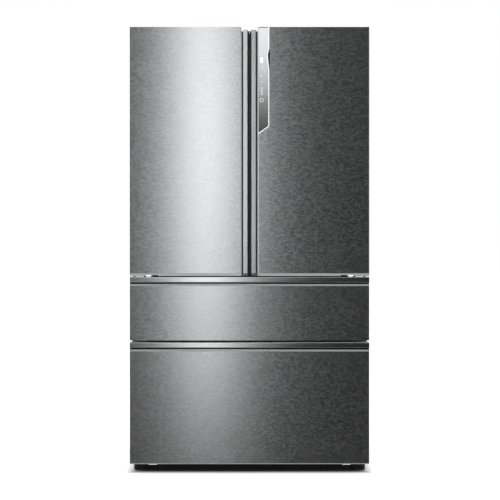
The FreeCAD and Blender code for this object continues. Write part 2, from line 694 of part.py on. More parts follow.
STRIP_OUTLINE = [("strip_left", "strip_low_left"), ("strip_right", "strip_low_right"),
                 ("strip_right", "notch_low"), ("strip_waist", "notch_high - 32"),
                 ("strip_waist", "notch_high - 20"), ("strip_right", "notch_high"),
                 ("strip_right", "door_high - 1"), ("strip_left", "door_high - 1")]
STRIP_GLASS = [("strip_left + bezel_wide", "strip_low_left + 2 * bezel_wide"),
               ("strip_right - bezel_wide", "strip_low_right + bezel_wide"),
               ("strip_right - bezel_wide", "notch_low"), ("strip_waist - bezel_wide", "notch_high - 32"),
               ("strip_waist - bezel_wide", "notch_high - 20"), ("strip_right - bezel_wide", "notch_high"),
               ("strip_right - bezel_wide", "door_high - 1 - bezel_wide"),
               ("strip_left + bezel_wide", "door_high - 1 - bezel_wide")]
STRIP_BACK = "front_face + strip_deep"


def hinge_notch(body):
    """Behind the front sheet the top corner is cut away, so the hinge plate lies below the door's top."""
    pocket(body, "XY", "notch_floor", "door_high + 1",
           [rectangle(("notch_inner", "front_half + 1"), ("front_face + 3", "leaf_back + 1"))])


def door_skin(name, with_strip):
    """Steel sheet folded around the front, the hinge side and the finger groove."""
    body = new_body(name)
    pad(body, "XY", "door_skin_low", "door_high",
        [[("skin_inner", "front_face"), ("front_half", "front_face"), ("front_half", "leaf_back - 5"),
          ("front_half - skin", "leaf_back - 5"), ("front_half - skin", "front_face + skin"),
          ("skin_inner + skin", "front_face + skin"),
          ("skin_inner + skin", "front_face + grip_deep - grip_web"),
          ("skin_inner", "front_face + grip_deep - grip_web")]])
    front, inside = size("front_face"), size("front_face") + size("skin")
    round_edges(body, "skin_round", lambda edge: runs_along(edge, "z")
                and abs(middle(edge).y - front) < 0.1)
    round_edges(body, "skin_round - skin",
                lambda edge: runs_along(edge, "z") and abs(middle(edge).y - inside) < 0.1)
    hinge_notch(body)
    if with_strip:
        pocket(body, "XZ", "front_face - 1", "front_face + strip_deep", [STRIP_OUTLINE])
    return body


def door_core(name, with_strip):
    """Foamed core with its end caps, the white inner face and its raised border."""
    body = new_body(name)
    front = "front_face + skin"
    backing = "front_face + grip_deep"
    pad(body, "XY", "door_low", "door_high",
        [rectangle(("skin_inner + skin", "front_half - skin"), (front, "leaf_back"))])
    at_front = size("front_face") + size("skin")
    round_edges(body, "skin_round - skin",
                lambda edge: runs_along(edge, "z") and abs(middle(edge).y - at_front) < 0.1)
    pad(body, "XY", "door_low", "grip_top",
        [rectangle(("grip_inner", "skin_inner + skin"), (backing, "leaf_back"))])
    pad(body, "XY", "door_low", "door_skin_low",
        [rectangle(("skin_inner", "front_half"), ("front_face + skin_round / 2", "leaf_back"))])
    border = rectangle(("dyke_centre", "dyke_side"), ("dyke_low", "dyke_high"))
    hollow = rectangle(("dyke_centre + dyke_wide", "dyke_side - dyke_wide"),
                       ("dyke_low + dyke_wide", "dyke_high - dyke_wide"))
    pad(body, "XZ", "leaf_back", "dyke_back", [border, hollow])
    rear = size("dyke_back")
    round_edges(body, "8", lambda edge: abs(middle(edge).y - rear) < 0.1 and not runs_along(edge, "y"))
    hole = [(("hinge_x", "hinge_y"), "pin_r + pin_clear")]
    hinge_notch(body)
    pocket(body, "XY", "notch_floor - 18", "notch_floor + 1", circles=hole)
    pocket(body, "XY", "door_low - 1", "door_low + 22", circles=hole)
    if with_strip:
        pocket(body, "XZ", "front_face", STRIP_BACK, [STRIP_OUTLINE])
    return body


def door_grip():
    """A rounded aluminium bar, with a side plate and a back plate around a hollow beside the skin."""
    rear = "front_face + grip_deep"
    hollow_back = f"{rear} - grip_web"
    hollow_front = "front_face + grip_bar"
    upright = ("door_skin_low", "grip_top")
    bar = new_body("door_bar")
    pad(bar, "XY", *upright, [rectangle(("grip_inner", "grip_outer"), ("front_face", hollow_front))])
    front = size("front_face")
    round_edges(bar, "3", lambda edge: runs_along(edge, "z") and abs(middle(edge).y - front) < 0.1)
    side = box("bar_side", ("grip_inner", "grip_inner + grip_web"), (hollow_front, rear), upright)
    back = box("bar_back", ("grip_inner + grip_web", "skin_inner"), (hollow_back, rear), upright)
    return group("door_grip_set", bar, side, back)


def seal_ring(name, across, up):
    """A soft frame; only its outer size and place matter here."""
    outer = rectangle(across, up)
    inner = rectangle((f"{across[0]} + seal_wide", f"{across[1]} - seal_wide"),
                      (f"{up[0]} + seal_wide", f"{up[1]} - seal_wide"))
    return plain_pad(name, "XZ", "leaf_back", "seal_back", [outer, inner])


def door_bins():
    """Three bins hung between the upright borders."""
    bins = []
    for i in range(3):
        low = f"bin_low + {i} * bin_pitch"
        body = open_tray(f"bin_{i}", ("dyke_centre + dyke_wide", "dyke_side - dyke_wide"),
                         ("leaf_back", "bin_back"), (low, f"{low} + bin_tall"), "bin_wall")
        bins.append(body)
    return group("bin_set", *bins)


def mullion_bracket(name, low):
    """An arm on the left door that carries one end of the mullion."""
    return plain_pad(name, "XY", low, f"{low} + 3",
                     [[("mullion_x - 12", "leaf_back"), ("mullion_x", "leaf_back"),
                       ("mullion_x", "seal_back + 2.3"), ("mullion_x + 6", "seal_back + 2.3"),
                       ("mullion_x + 6", "mullion_y + 8"), ("mullion_x - 12", "mullion_y + 8")]])


def flip_mullion():
    """The bar that bridges the gap between both gaskets, shown folded back against the border."""
    body = new_body("mullion_body")
    pad(body, "XY", "mullion_low", "mullion_high", circles=[(("mullion_x", "mullion_y"), "mullion_half")])
    pad(body, "XY", "mullion_low", "mullion_high",
        [rectangle(("mullion_x - mullion_half", "mullion_x + mullion_half"),
                   ("mullion_y", "mullion_y + mullion_reach"))])
    far = size("mullion_y") + size("mullion_reach")
    round_edges(body, "4", lambda edge: runs_along(edge, "z") and abs(middle(edge).y - far) < 0.1)
    hole = [(("mullion_x", "mullion_y"), "3 + pin_clear")]
    pocket(body, "XY", "mullion_high - 14", "mullion_high + 1", circles=hole)
    pocket(body, "XY", "mullion_low - 1", "mullion_low + 14", circles=hole)
    return piece("flip_mullion", body)


def doors():
    piece("right_door_panel", door_skin("right_skin", True))
    piece("left_door_panel", mirrored("left_skin", door_skin("plain_skin", False)))
    piece("right_door_liner", door_core("right_core", True))
    left_core = mirrored("left_core", door_core("plain_core", False))
    high = mullion_bracket("bracket_high", "mullion_high + 1")
    low = mullion_bracket("bracket_low", "mullion_low - 4")
    high_pin = cylinder("mullion_pin_high", "3", ("mullion_x", "mullion_y", "mullion_high - 12"), "14")
    low_pin = cylinder("mullion_pin_low", "3", ("mullion_x", "mullion_y", "mullion_low - 3"), "14")
    piece("left_door_liner", fuse("left_core_all", left_core, high, low, high_pin, low_pin))
    grip = piece("right_door_grip", door_grip())
    piece("left_door_grip", mirrored("left_grip", grip))
    seal = piece("right_door_gasket", seal_ring("door_seal", ("seal_centre", "seal_side"),
                                                ("door_seal_low", "door_seal_high")))
    piece("left_door_gasket", mirrored("left_seal", seal))
    bins = piece("right_door_bins", door_bins())
    piece("left_door_bins", mirrored("left_bins", bins))
    piece("control_panel", plain_pad("strip_glass", "XZ", "front_face + 0.5", STRIP_BACK, [STRIP_GLASS]))
    piece("control_bezel", plain_pad("strip_bezel", "XZ", "front_face", STRIP_BACK,
                                     [STRIP_OUTLINE, STRIP_GLASS]))


# ---------------------------------------------------------------- drawers

def drawer_front(which, low, high, basket_low, basket_high, seal_up):
    """Skin, core, grip profile and gasket of one drawer front."""
    skin_top = f"{high} - bar_tall - slot_tall - lip_tall"
    skin = new_body(which + "_skin")
    pad(skin, "XY", low, skin_top,
        [[("-front_half", "front_face"), ("front_half", "front_face"), ("front_half", "leaf_back - 5"),
          ("front_half - skin", "leaf_back - 5"), ("front_half - skin", "front_face + skin"),
          ("skin - front_half", "front_face + skin"), ("skin - front_half", "leaf_back - 5"),
          ("-front_half", "leaf_back - 5")]])
    front = size("front_face")
    inside = front + size("skin")
    round_edges(skin, "skin_round", lambda edge: runs_along(edge, "z")
                and abs(middle(edge).y - front) < 0.1)
    round_edges(skin, "skin_round - skin",
                lambda edge: runs_along(edge, "z") and abs(middle(edge).y - inside) < 0.1)
    piece(which + "_drawer_panel", skin)

    core = new_body(which + "_core")
    pad(core, "XY", low, skin_top,
        [rectangle(("skin - front_half", "front_half - skin"), ("front_face + skin", "leaf_back"))])
    round_edges(core, "skin_round - skin",
                lambda edge: runs_along(edge, "z") and abs(middle(edge).y - inside) < 0.1)
    pad(core, "XY", f"{high} - 60", high,
        [rectangle(("skin - front_half", "front_half - skin"), ("front_face + grip_deep", "leaf_back"))])
    pad(core, "XZ", "leaf_back", "basket_front",
        [rectangle(("30 - basket_half", "basket_half - 30"), (f"{basket_low} + 6", f"{basket_high} - 6"))])
    piece(which + "_drawer_liner", core)

    grip = new_body(which + "_grip")
    rear = "front_face + grip_deep"
    hollow_back = f"{rear} - grip_web"
    hollow_front = "front_face + grip_bar"
    pad(grip, "YZ", "-grip_half", "grip_half",
        [[("front_face", high), ("front_face", f"{high} - bar_tall"), (hollow_front, f"{high} - bar_tall"),
          (hollow_front, f"{high} - grip_web"), (hollow_back, f"{high} - grip_web"),
          (hollow_back, f"{skin_top} + lip_tall"), ("front_face + lip_tilt", f"{skin_top} + lip_tall"),
          ("front_face", skin_top), (rear, skin_top), (rear, high)]])
    bar_low = size(high) - size("bar_tall") - 1
    round_edges(grip, "3", lambda edge: runs_along(edge, "x") and abs(middle(edge).y - front) < 0.1
                and middle(edge).z > bar_low)
    piece(which + "_drawer_grip", grip)

    piece(which + "_drawer_gasket", seal_ring(which + "_seal", ("-seal_side", "seal_side"), seal_up))


def slide_members(which, height):
    """Fixed channel, intermediate channel and drawer rail of one drawer, on both sides."""
    def channel(name, web, far, half, ends):
        """A C section: an upright web with a flange above and below, reaching to 'far'."""
        outer = rectangle((f"{web}", f"{far}"), (f"{height} - ({half})", f"{height} + ({half})"))
        body = new_body(name)
        pad(body, "XZ", ends[0], ends[1], [outer])
        return body

    fixed_wall = "cavity_half"
    fixed_half = "slide_half"
    fixed = channel(which + "_fixed", f"{fixed_wall} - channel_deep", fixed_wall, fixed_half,
                    ("slide_front", "slide_back"))
    pocket(fixed, "XZ", "slide_front - 1", "slide_back + 1",
           [rectangle((f"{fixed_wall} - channel_deep - 1", f"{fixed_wall} - slide_gauge"),
                      (f"{height} - {fixed_half} + slide_gauge",
                       f"{height} + {fixed_half} - slide_gauge"))])
    middle_wall = f"{fixed_wall} - slide_gauge - slide_gap"
    middle_half = "(slide_half - slide_gauge - slide_gap)"
    middle_deep = "(channel_deep + 4)"
    between = channel(which + "_between", f"{middle_wall} - {middle_deep}", middle_wall, middle_half,
                      ("slide_front + 2", "slide_back - 2"))
    pocket(between, "XZ", "slide_front", "slide_back",
           [rectangle((f"{middle_wall} - {middle_deep} - 1", f"{middle_wall} - slide_gauge"),
                      (f"{height} - {middle_half} + slide_gauge",
                       f"{height} + {middle_half} - slide_gauge"))])
    rail_wall = "basket_half"
    rail_far = f"{middle_wall} - slide_gauge - 3"
    rail_half = f"({middle_half} - slide_gauge - slide_gap)"
    rail = channel(which + "_rail", rail_wall, rail_far, rail_half, ("slide_front + 4", "slide_back - 4"))
    pocket(rail, "XZ", "slide_front", "slide_back",
           [rectangle((f"{rail_wall} + slide_gauge", f"{rail_far} + 1"),
                      (f"{height} - {rail_half} + slide_gauge", f"{height} + {rail_half} - slide_gauge"))])
    piece(which + "_slide_middles", both_sides(which + "_middles", between))
    piece(which + "_slide_rails", both_sides(which + "_rails", rail))
    return fixed


def drawers():
    drawer_front("upper", "upper_low", "upper_high", "upper_basket_low", "upper_basket_high",
                 ("upper_low + 9.6", "upper_high - 6.4"))
    drawer_front("lower", "lower_low", "lower_high", "lower_basket_low", "lower_basket_high",
                 ("lower_low + 26", "lower_high - 10"))
    upper_fixed = slide_members("upper", "upper_slide_z")
    lower_fixed = slide_members("lower", "lower_slide_z")
    piece("slide_channels", group("channels", upper_fixed, mirrored("upper_fixed_left", upper_fixed),
                                  lower_fixed, mirrored("lower_fixed_left", lower_fixed)))
    across = ("-basket_half", "basket_half")
    along = ("basket_front", "basket_back")
    piece("upper_basket", open_tray("upper_tub", across, along, ("upper_basket_low", "upper_basket_high"),
                                    "basket_wall"))
    tub = open_tray("lower_tub", across, along, ("lower_basket_low", "lower_basket_high"), "basket_wall")
    ledge = box("tray_ledge", ("basket_half - basket_wall - ledge_wide", "basket_half - basket_wall"),
                ("basket_front + basket_wall", "basket_back - basket_wall"),
                ("tray_low - 0.4 - ledge_thick", "tray_low - 0.4"))
    piece("lower_basket", fuse("lower_tub_all", tub, ledge, mirrored("tray_ledge_left", ledge)))
    inside = "basket_half - basket_wall - 1"
    piece("freezer_tray", open_tray("tray_tub", (f"-({inside})", inside),
                                    ("tray_front", "basket_back - basket_wall - 1"),
                                    ("tray_low", "tray_high"), "basket_wall"))


def crispers():
    right = piece("crisper_right", open_tray("crisper_tub", ("6", "cavity_half - 8"),
                                             ("shelf_front + 1", "shelf_back - 12"),
                                             ("crisper_low", "crisper_high"), "crisper_wall"))
    piece("crisper_left", mirrored("crisper_mirror", right))


# ---------------------------------------------------------------- cooling parts

def finned_block(name, x_span, y_span, z_span, first, spacing, count):
    """A coil block with slots between its fins; the far side stays closed."""
    body = new_body(name)
    pad(body, "XZ", y_span[0], y_span[1], [rectangle(x_span, z_span)])
    slot = pocket(body, "XZ", f"{y_span[0]} - 1", f"{y_span[1]} - 6",
                  [rectangle((first, f"{first} + 5"), (f"{z_span[0]} + 8", f"{z_span[1]} - 8"))])
    repeat_along(body, slot, "H_Axis", spacing, count)
    return body


def evaporator_cover():
    body = new_body("ice_cover")
    front = "evap_cover_front"
    pad(body, "XZ", front, f"{front} + 4",
        [rectangle(("2 - cavity_half", "cavity_half - 2"), ("step_top + 2", "freezer_ceiling - 2"))],
        [(("0", "ice_fan_z"), "ice_fan_r + 5")])
    slot = pocket(body, "XZ", f"{front} - 1", f"{front} + 5", [rectangle(("-340", "-255"), ("420", "428"))])
    repeat_along(body, slot, "H_Axis", "119", 6)
    return piece("evaporator_cover", body)


def fan(name, radius, thick, pitch, count, place, direction):
    """A hub with pitched blades, turned to its axle."""
    hub = cylinder(name + "_hub", "hub_r", ("0", "0", "0"), thick)
    blades = []
    for i in range(count):
        blade = doc.addObject("Part::Box", f"{name}_blade_{i}")
        bind(blade, "Length", f"{radius} - hub_r + 2")
        bind(blade, "Width", f"{radius} * 0.55")
        bind(blade, "Height", "blade_thick")
        turn = FreeCAD.Rotation(FreeCAD.Vector(0, 0, 1), 360 * i / count)
        tilt = FreeCAD.Rotation(FreeCAD.Vector(1, 0, 0), pitch)
        width, height = 0.55 * size(radius), size("blade_thick")
        corner = tilt.multVec(FreeCAD.Vector(0, -width / 2, -height / 2))
        middle_up = FreeCAD.Vector(size("hub_r") - 2, 0, float(thick) / 2)
        blade.Placement = FreeCAD.Placement(turn.multVec(middle_up + corner), turn.multiply(tilt))
        blades.append(blade)
    bore = cylinder(name + "_bore", "shaft_r + pin_clear", ("0", "0", "-1"), f"{thick} + 2")
    rim = cylinder(name + "_rim", radius, ("0", "0", "-20"), "60")
    solid = doc.addObject("Part::Common", name + "_trimmed")
    solid.Base = fuse(name + "_blank", hub, *blades)
    solid.Tool = rim
    wheel = cut(name + "_wheel", solid, bore)
    axis = FreeCAD.Vector(1, 0, 0) if direction == "x" else FreeCAD.Vector(0, -1, 0)
    wheel.Placement.Rotation = FreeCAD.Rotation(FreeCAD.Vector(0, 0, 1), axis)
    for letter, where in zip("xyz", place):
        bind(wheel, "Placement.Base." + letter, where)
    return wheel


def fans_and_motors():
    piece("condenser_fan", fan("cond_fan", "fan_r", "18", 32, 5, ("fan_x", "compressor_y", "fan_z"), "x"))
    piece("evaporator_fan", fan("ice_fan", "ice_fan_r", "16", 32, 7,
                                ("0", "evap_cover_front + 34", "ice_fan_z"), "y"))
    low_motor = cylinder("cond_motor", "motor_r", ("fan_x + 24", "compressor_y", "fan_z"), "42", "x")
    low_shaft = cylinder("cond_shaft", "shaft_r", ("fan_x + 1", "compressor_y", "fan_z"), "25", "x")
    low_stand = box("cond_stand", ("fan_x + 32", "fan_x + 56"), ("compressor_y - 16", "compressor_y + 16"),
                    ("cabinet_bottom", "fan_z - 15"))
    high_motor = cylinder("ice_motor", "motor_r", ("0", "evap_cover_front + 40", "ice_fan_z"), "26", "y")
    high_shaft = cylinder("ice_shaft", "shaft_r", ("0", "evap_cover_front + 20", "ice_fan_z"), "22", "y")
    high_stand = cylinder("ice_stand", "9", ("0", "evap_cover_front + 64", "ice_fan_z"),
                          "cavity_back - evap_cover_front - 64", "y")
    piece("fan_motors", group("motors", fuse("low_motor_all", low_motor, low_shaft, low_stand),
                              fuse("high_motor_all", high_motor, high_shaft, high_stand)))


def compressor():
    """A domed steel shell on a plate with four rubber grommets, and its terminal cover."""
    shell = new_body("compressor_shell")
    low = "cabinet_bottom + 16"
    profile = [("0", low), ("compressor_r - 26", low), ("compressor_r - 4", f"{low} + 16"),
               ("compressor_r", f"{low} + 36"), ("compressor_r", f"{low} + compressor_tall - 40"),
               ("compressor_r - 9", f"{low} + compressor_tall - 18"),
               ("compressor_r - 34", f"{low} + compressor_tall - 2"), ("0", f"{low} + compressor_tall")]
    revolve(shell, "XZ", "0", [profile])
    bind(shell, "Placement.Base.x", "compressor_x")
    bind(shell, "Placement.Base.y", "compressor_y")
    plate = box("compressor_feet", ("compressor_x - 92", "compressor_x + 92"),
                ("compressor_y - 62", "compressor_y + 62"), ("cabinet_bottom + 13", "cabinet_bottom + 17"))
    grommets = [cylinder(f"grommet_{i}", "11",
                         (f"compressor_x + {x}", f"compressor_y + {y}", "cabinet_bottom"),
                         "15")
                for i, (x, y) in enumerate(((-78, -48), (78, -48), (-78, 48), (78, 48)))]
    terminal = box("terminal", ("compressor_x + compressor_r - 8", "compressor_x + compressor_r + 22"),
                   ("compressor_y - 26", "compressor_y + 26"),
                   ("cabinet_bottom + 90", "cabinet_bottom + 150"))
    return piece("compressor", fuse("compressor_all", shell, plate, terminal, *grommets))


def machine_cover():
    body = new_body("rear_cover")
    inlet = rectangle(("372", "428"), ("196", "240"))
    pad(body, "XZ", "cabinet_back - skin", "cabinet_back",
        [rectangle(("-cabinet_half", "cabinet_half"), ("cabinet_bottom", "machine_top - 0.5")), inlet])
    slot = pocket(body, "XZ", "cabinet_back - 2", "cabinet_back + 1",
                  [rectangle(("-430", "-350"), ("110", "116"))])
    repeat_along(body, slot, "V_Axis", "18", 8)
    doc.recompute()
    second = pocket(body, "XZ", "cabinet_back - 2", "cabinet_back + 1",
                    [rectangle(("60", "300"), ("110", "116"))])
    repeat_along(body, second, "V_Axis", "18", 8)
    piece("machine_cover", body)


def power_inlet():
    """A recessed three-pin inlet behind a flange."""
    flange_plate = box("inlet_flange", ("366", "434"), ("cabinet_back", "cabinet_back + 3"), ("190", "246"))
    well = box("inlet_well", ("372", "428"), ("cabinet_back - 24", "cabinet_back + 1"), ("196", "240"))
    hollow = box("inlet_hollow", ("380", "420"), ("cabinet_back - 19", "cabinet_back + 5"), ("203", "233"))
    pins = [box(f"inlet_pin_{i}", (f"{x} - 3", f"{x} + 3"), ("cabinet_back - 20", "cabinet_back - 2"),
                (f"{z} - 2", f"{z} + 2"))
            for i, (x, z) in enumerate(((388, 213), (400, 222), (412, 213)))]
    shell = cut("inlet_shell", fuse("inlet_blank", flange_plate, well), hollow)
    return piece("power_inlet", fuse("inlet_all", shell, *pins))


# ---------------------------------------------------------------- build

cabinet_shell()
back_panel()
fridge_liner()
freezer_liner()
front_cross_rails()
insulation_foam()
air_duct_cover()
light_strips()
shelves()
base_frame()
kick_plate()
levelling_foot()
rear_rollers()
top_hinges()
hinge_covers()
middle_hinges()
hinge_screws()
doors()
flip_mullion()
drawers()
crispers()
piece("evaporator", finned_block("evaporator_block", ("-240", "240"), ("222", "268"), ("330", "560"),
                                 "-225", "15", 30))
evaporator_cover()
fans_and_motors()
compressor()
piece("condenser", finned_block("condenser_block", ("-372", "-130"), ("190", "330"),
                                ("cabinet_bottom", "234"), "-360", "15", 15))
machine_cover()
power_inlet()
doc.recompute()

for item in doc.Objects:
    if {"Invalid", "Error"} & set(item.State):
        raise RuntimeError(f"{item.Label} did not build: {item.State}")
    if item.TypeId in ("PartDesign::Pocket", "PartDesign::Groove"):
        before = item.BaseFeature.Shape.Volume
        if item.Shape.Volume > before - 1:
            raise RuntimeError(f"{item.Label} cuts nothing")
for item in pieces:
    if item.Shape.isNull() or not item.Shape.isValid():
        raise RuntimeError(f"{item.Label} has no valid shape")

os.makedirs("parts", exist_ok=True)
for item in pieces:
    item.Shape.exportStep(f"parts/{item.Label}.step")
    bounds = item.Shape.BoundBox
    print(f"{item.Label:22s} solids {len(item.Shape.Solids)}  "
          f"x {bounds.XMin:.1f} {bounds.XMax:.1f}  y {bounds.YMin:.1f} {bounds.YMax:.1f}  "
          f"z {bounds.ZMin:.1f} {bounds.ZMax:.1f}")
print(len(pieces), "sub-parts")
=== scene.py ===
import bmesh
import bpy
import json
import math
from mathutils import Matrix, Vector


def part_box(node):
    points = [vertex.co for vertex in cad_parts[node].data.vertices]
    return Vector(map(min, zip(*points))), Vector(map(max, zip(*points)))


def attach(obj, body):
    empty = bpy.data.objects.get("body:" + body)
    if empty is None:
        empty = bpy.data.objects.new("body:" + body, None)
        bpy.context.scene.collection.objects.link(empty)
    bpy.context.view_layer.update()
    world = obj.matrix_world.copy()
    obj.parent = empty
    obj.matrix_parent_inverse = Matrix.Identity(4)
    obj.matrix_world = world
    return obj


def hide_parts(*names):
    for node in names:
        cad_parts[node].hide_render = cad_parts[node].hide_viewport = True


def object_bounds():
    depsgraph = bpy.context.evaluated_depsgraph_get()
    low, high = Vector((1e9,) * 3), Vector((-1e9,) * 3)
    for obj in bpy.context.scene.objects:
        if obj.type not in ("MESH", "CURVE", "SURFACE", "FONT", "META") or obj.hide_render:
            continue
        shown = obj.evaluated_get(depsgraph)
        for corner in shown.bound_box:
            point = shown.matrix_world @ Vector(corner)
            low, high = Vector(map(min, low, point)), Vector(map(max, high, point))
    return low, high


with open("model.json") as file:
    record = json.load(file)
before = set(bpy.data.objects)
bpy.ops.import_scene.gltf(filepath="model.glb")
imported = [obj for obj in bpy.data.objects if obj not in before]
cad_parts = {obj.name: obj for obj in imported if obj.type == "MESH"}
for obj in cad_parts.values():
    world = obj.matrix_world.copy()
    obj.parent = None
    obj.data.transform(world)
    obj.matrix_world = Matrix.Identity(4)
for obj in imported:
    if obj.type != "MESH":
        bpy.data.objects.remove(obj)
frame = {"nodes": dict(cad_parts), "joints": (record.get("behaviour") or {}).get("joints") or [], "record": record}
nodes = frame["nodes"]
cad_low, cad_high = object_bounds()
MM = 0.001  # meshes are drawn in millimetres; materials, camera and lights are in metres
CAP_GREY = (0.27, 0.272, 0.275, 1.0)  # the doors' end caps
LIP_HIGHLIGHT_GREY = (0.21, 0.212, 0.215, 1.0)  # the lip below each drawer's grip bar: a flat grey painted highlight where its edge catches the light
DIM_FRONT = 0.0  # the room's brightness in front of the object, as its metal mirrors it
DOME = 0.9  # the room's brightness for everything but mirrored and camera rays
# What fills the gap below each door: where each part starts and ends, in mm from the centre plane.
HINGE_TAB = (485, 498)
HINGE_NOSE = (442, 479)
HINGE_CAM = (413, 434)
DOOR_STOP = (383, 408)

# ---------------------------------------------------------------- materials


class Shader:
    """A material with its Principled shader and short ways to add and join nodes."""

    def __init__(self, name):
        self.material = bpy.data.materials.new(name)
        self.material.use_nodes = True
        self.tree = self.material.node_tree
        self.surface = self.tree.nodes["Principled BSDF"]
        self.place = self.tree.nodes.new("ShaderNodeTexCoord").outputs["Object"]

    def node(self, kind, inputs=None, **settings):
        made = self.tree.nodes.new(kind)
        for key, value in settings.items():
            setattr(made, key, value)
        for key, value in (inputs or {}).items():
            self.put(made.inputs[key], value)
        return made

    def put(self, socket, value):
        if isinstance(value, bpy.types.NodeSocket):
            self.tree.links.new(value, socket)
        else:
            socket.default_value = value

    def set(self, **inputs):
        """Values or links for the Principled shader; underscores stand for spaces."""
        for key, value in inputs.items():
            self.put(self.surface.inputs[key.replace("_", " ")], value)

    def stretched(self, scale):
        """Object coordinates in metres, times a scale for each axis."""
        return self.node("ShaderNodeMapping", {"Vector": self.place, "Scale": scale}).outputs[0]

    def noise(self, scale, detail=3.0, roughness=0.55):
        made = self.node("ShaderNodeTexNoise", {"Vector": self.stretched(scale), "Scale": 1.0,
                                                "Detail": detail, "Roughness": roughness})
        return made.outputs["Fac"]

    def remap(self, value, low, high, to_low, to_high):
        made = self.node("ShaderNodeMapRange", {"Value": value, "From Min": low, "From Max": high,
                                                "To Min": to_low, "To Max": to_high})
        return made.outputs[0]

    def mix(self, factor, first, second):
        made = self.node("ShaderNodeMix", data_type="RGBA")
        self.put(made.inputs[0], factor)
        self.put(made.inputs[6], first)
        self.put(made.inputs[7], second)
        return made.outputs[2]

    def math(self, operation, first, second=0.0):
        made = self.node("ShaderNodeMath", operation=operation)
        self.put(made.inputs[0], first)
        self.put(made.inputs[1], second)
        return made.outputs[0]

    def axis(self, letter):
        return self.node("ShaderNodeSeparateXYZ", {"Vector": self.place}).outputs[letter.upper()]

    def bump(self, height, distance, strength=1.0):
        made = self.node("ShaderNodeBump", {"Height": height, "Distance": distance, "Strength": strength})
        self.put(self.surface.inputs["Normal"], made.outputs[0])
        return self


def grey(level, tint=0.0):
    """A neutral colour, slightly cool where tint is above zero."""
    return (level * (1 - tint), level, level * (1 + tint), 1.0)


def brushed(name, colour, roughness, grain_depth, spread):
    """Metal brushed along the floor's plane: fine streaks with a mottled grain over them."""
    made = Shader(name)
    streaks = made.noise((45, 45, 1500), 4.0, 0.6)
    mottle = made.noise((80, 80, 175), 2.0, 0.6)
    grain = made.math("ADD", made.math("MULTIPLY", streaks, 0.25), made.math("MULTIPLY", mottle, 0.75))
    made.set(Metallic=1.0, Anisotropic=spread, Anisotropic_Rotation=0.25)
    light = tuple(min(1.0, c * (1 + grain_depth)) for c in colour[:3]) + (1.0,)
    dark = tuple(c * (1 - grain_depth) for c in colour[:3]) + (1.0,)
    made.set(Base_Color=made.mix(made.remap(grain, 0.41, 0.59, 0.0, 1.0), dark, light))
    made.set(Roughness=made.remap(grain, 0.32, 0.68, roughness - 0.06, roughness + 0.06))
    tangent = made.node("ShaderNodeTangent", direction_type="RADIAL", axis="Z")
    made.put(made.surface.inputs["Tangent"], tangent.outputs[0])
    return made.bump(streaks, 0.00006, 0.5)


def moulded(name, colour, roughness, grain=900, depth=0.00008, **extra):
    """Moulded plastic or enamel with a fine even texture."""
    made = Shader(name)
    fine = made.noise((grain, grain, grain), 2.0)
    wide = made.noise((7, 7, 7), 3.0)
    shade = tuple(c * 0.94 for c in colour[:3]) + (1.0,)
    made.set(Base_Color=made.mix(made.remap(wide, 0.35, 0.65, 0.0, 1.0), shade, colour))
    made.set(Roughness=made.remap(wide, 0.3, 0.7, roughness - 0.04, roughness + 0.04), **extra)
    return made.bump(fine, depth, 0.6)


def clear(name, colour, roughness, transmission, ior):
    """Clear plastic or glass, a little cloudy where it was handled."""
    made = Shader(name)
    haze = made.noise((30, 30, 30), 3.0)
    tone = tuple(c * 0.97 for c in colour[:3]) + (1.0,)
    made.set(Base_Color=made.mix(haze, tone, colour), IOR=ior, Transmission_Weight=transmission)
    made.set(Roughness=made.remap(haze, 0.3, 0.7, roughness, roughness + 0.05))
    return made


def within(made, letter, low, high):
    """1 where an object coordinate lies between two values in metres, else 0."""
    return between(made, made.axis(letter), low, high)


def between(made, value, low, high):
    """1 where a value lies between two others, else 0."""
    return made.math("MULTIPLY", made.math("GREATER_THAN", value, low), made.math("LESS_THAN", value, high))


def grip_metal(name, direction, lips=()):
    """Anodised extrusion: satin in front; the finger hollow is painted near black as shade, and the lip is plain
    grey, a painted highlight where its edge catches the light.
    """
    made = Shader(name)
    stretch = {"x": (3, 420, 420), "z": (420, 420, 3)}[direction]
    lines = made.noise(stretch, 3.0, 0.6)
    tone = made.mix(made.remap(lines, 0.35, 0.65, 0.0, 1.0), grey(0.66, 0.012), grey(0.72, 0.012))
    hollow_front, lip_back, lip_height = cad_low.y + 7.5 * MM, cad_low.y + 6 * MM, 7.2 * MM
    # Painted shade: the finger hollow behind the front face is near black.
    tone = made.mix(within(made, "Y", hollow_front, 0.0), tone, grey(0.045))
    metal = 1.0
    # Painted highlight: along each grip's foot the metal gives way to a flat grey, standing for the light its edge
    # catches.
    for low in lips:
        lip = made.math("MULTIPLY", within(made, "Z", low - 1 * MM, low + lip_height),
                        within(made, "Y", -1.0, lip_back))
        tone = made.mix(lip, tone, LIP_HIGHLIGHT_GREY)
        metal = made.math("SUBTRACT", metal, lip)
    made.set(Base_Color=tone, Metallic=metal, Roughness=made.remap(lines, 0.3, 0.7, 0.26, 0.34))
    return made.bump(lines, 0.00003, 0.4)


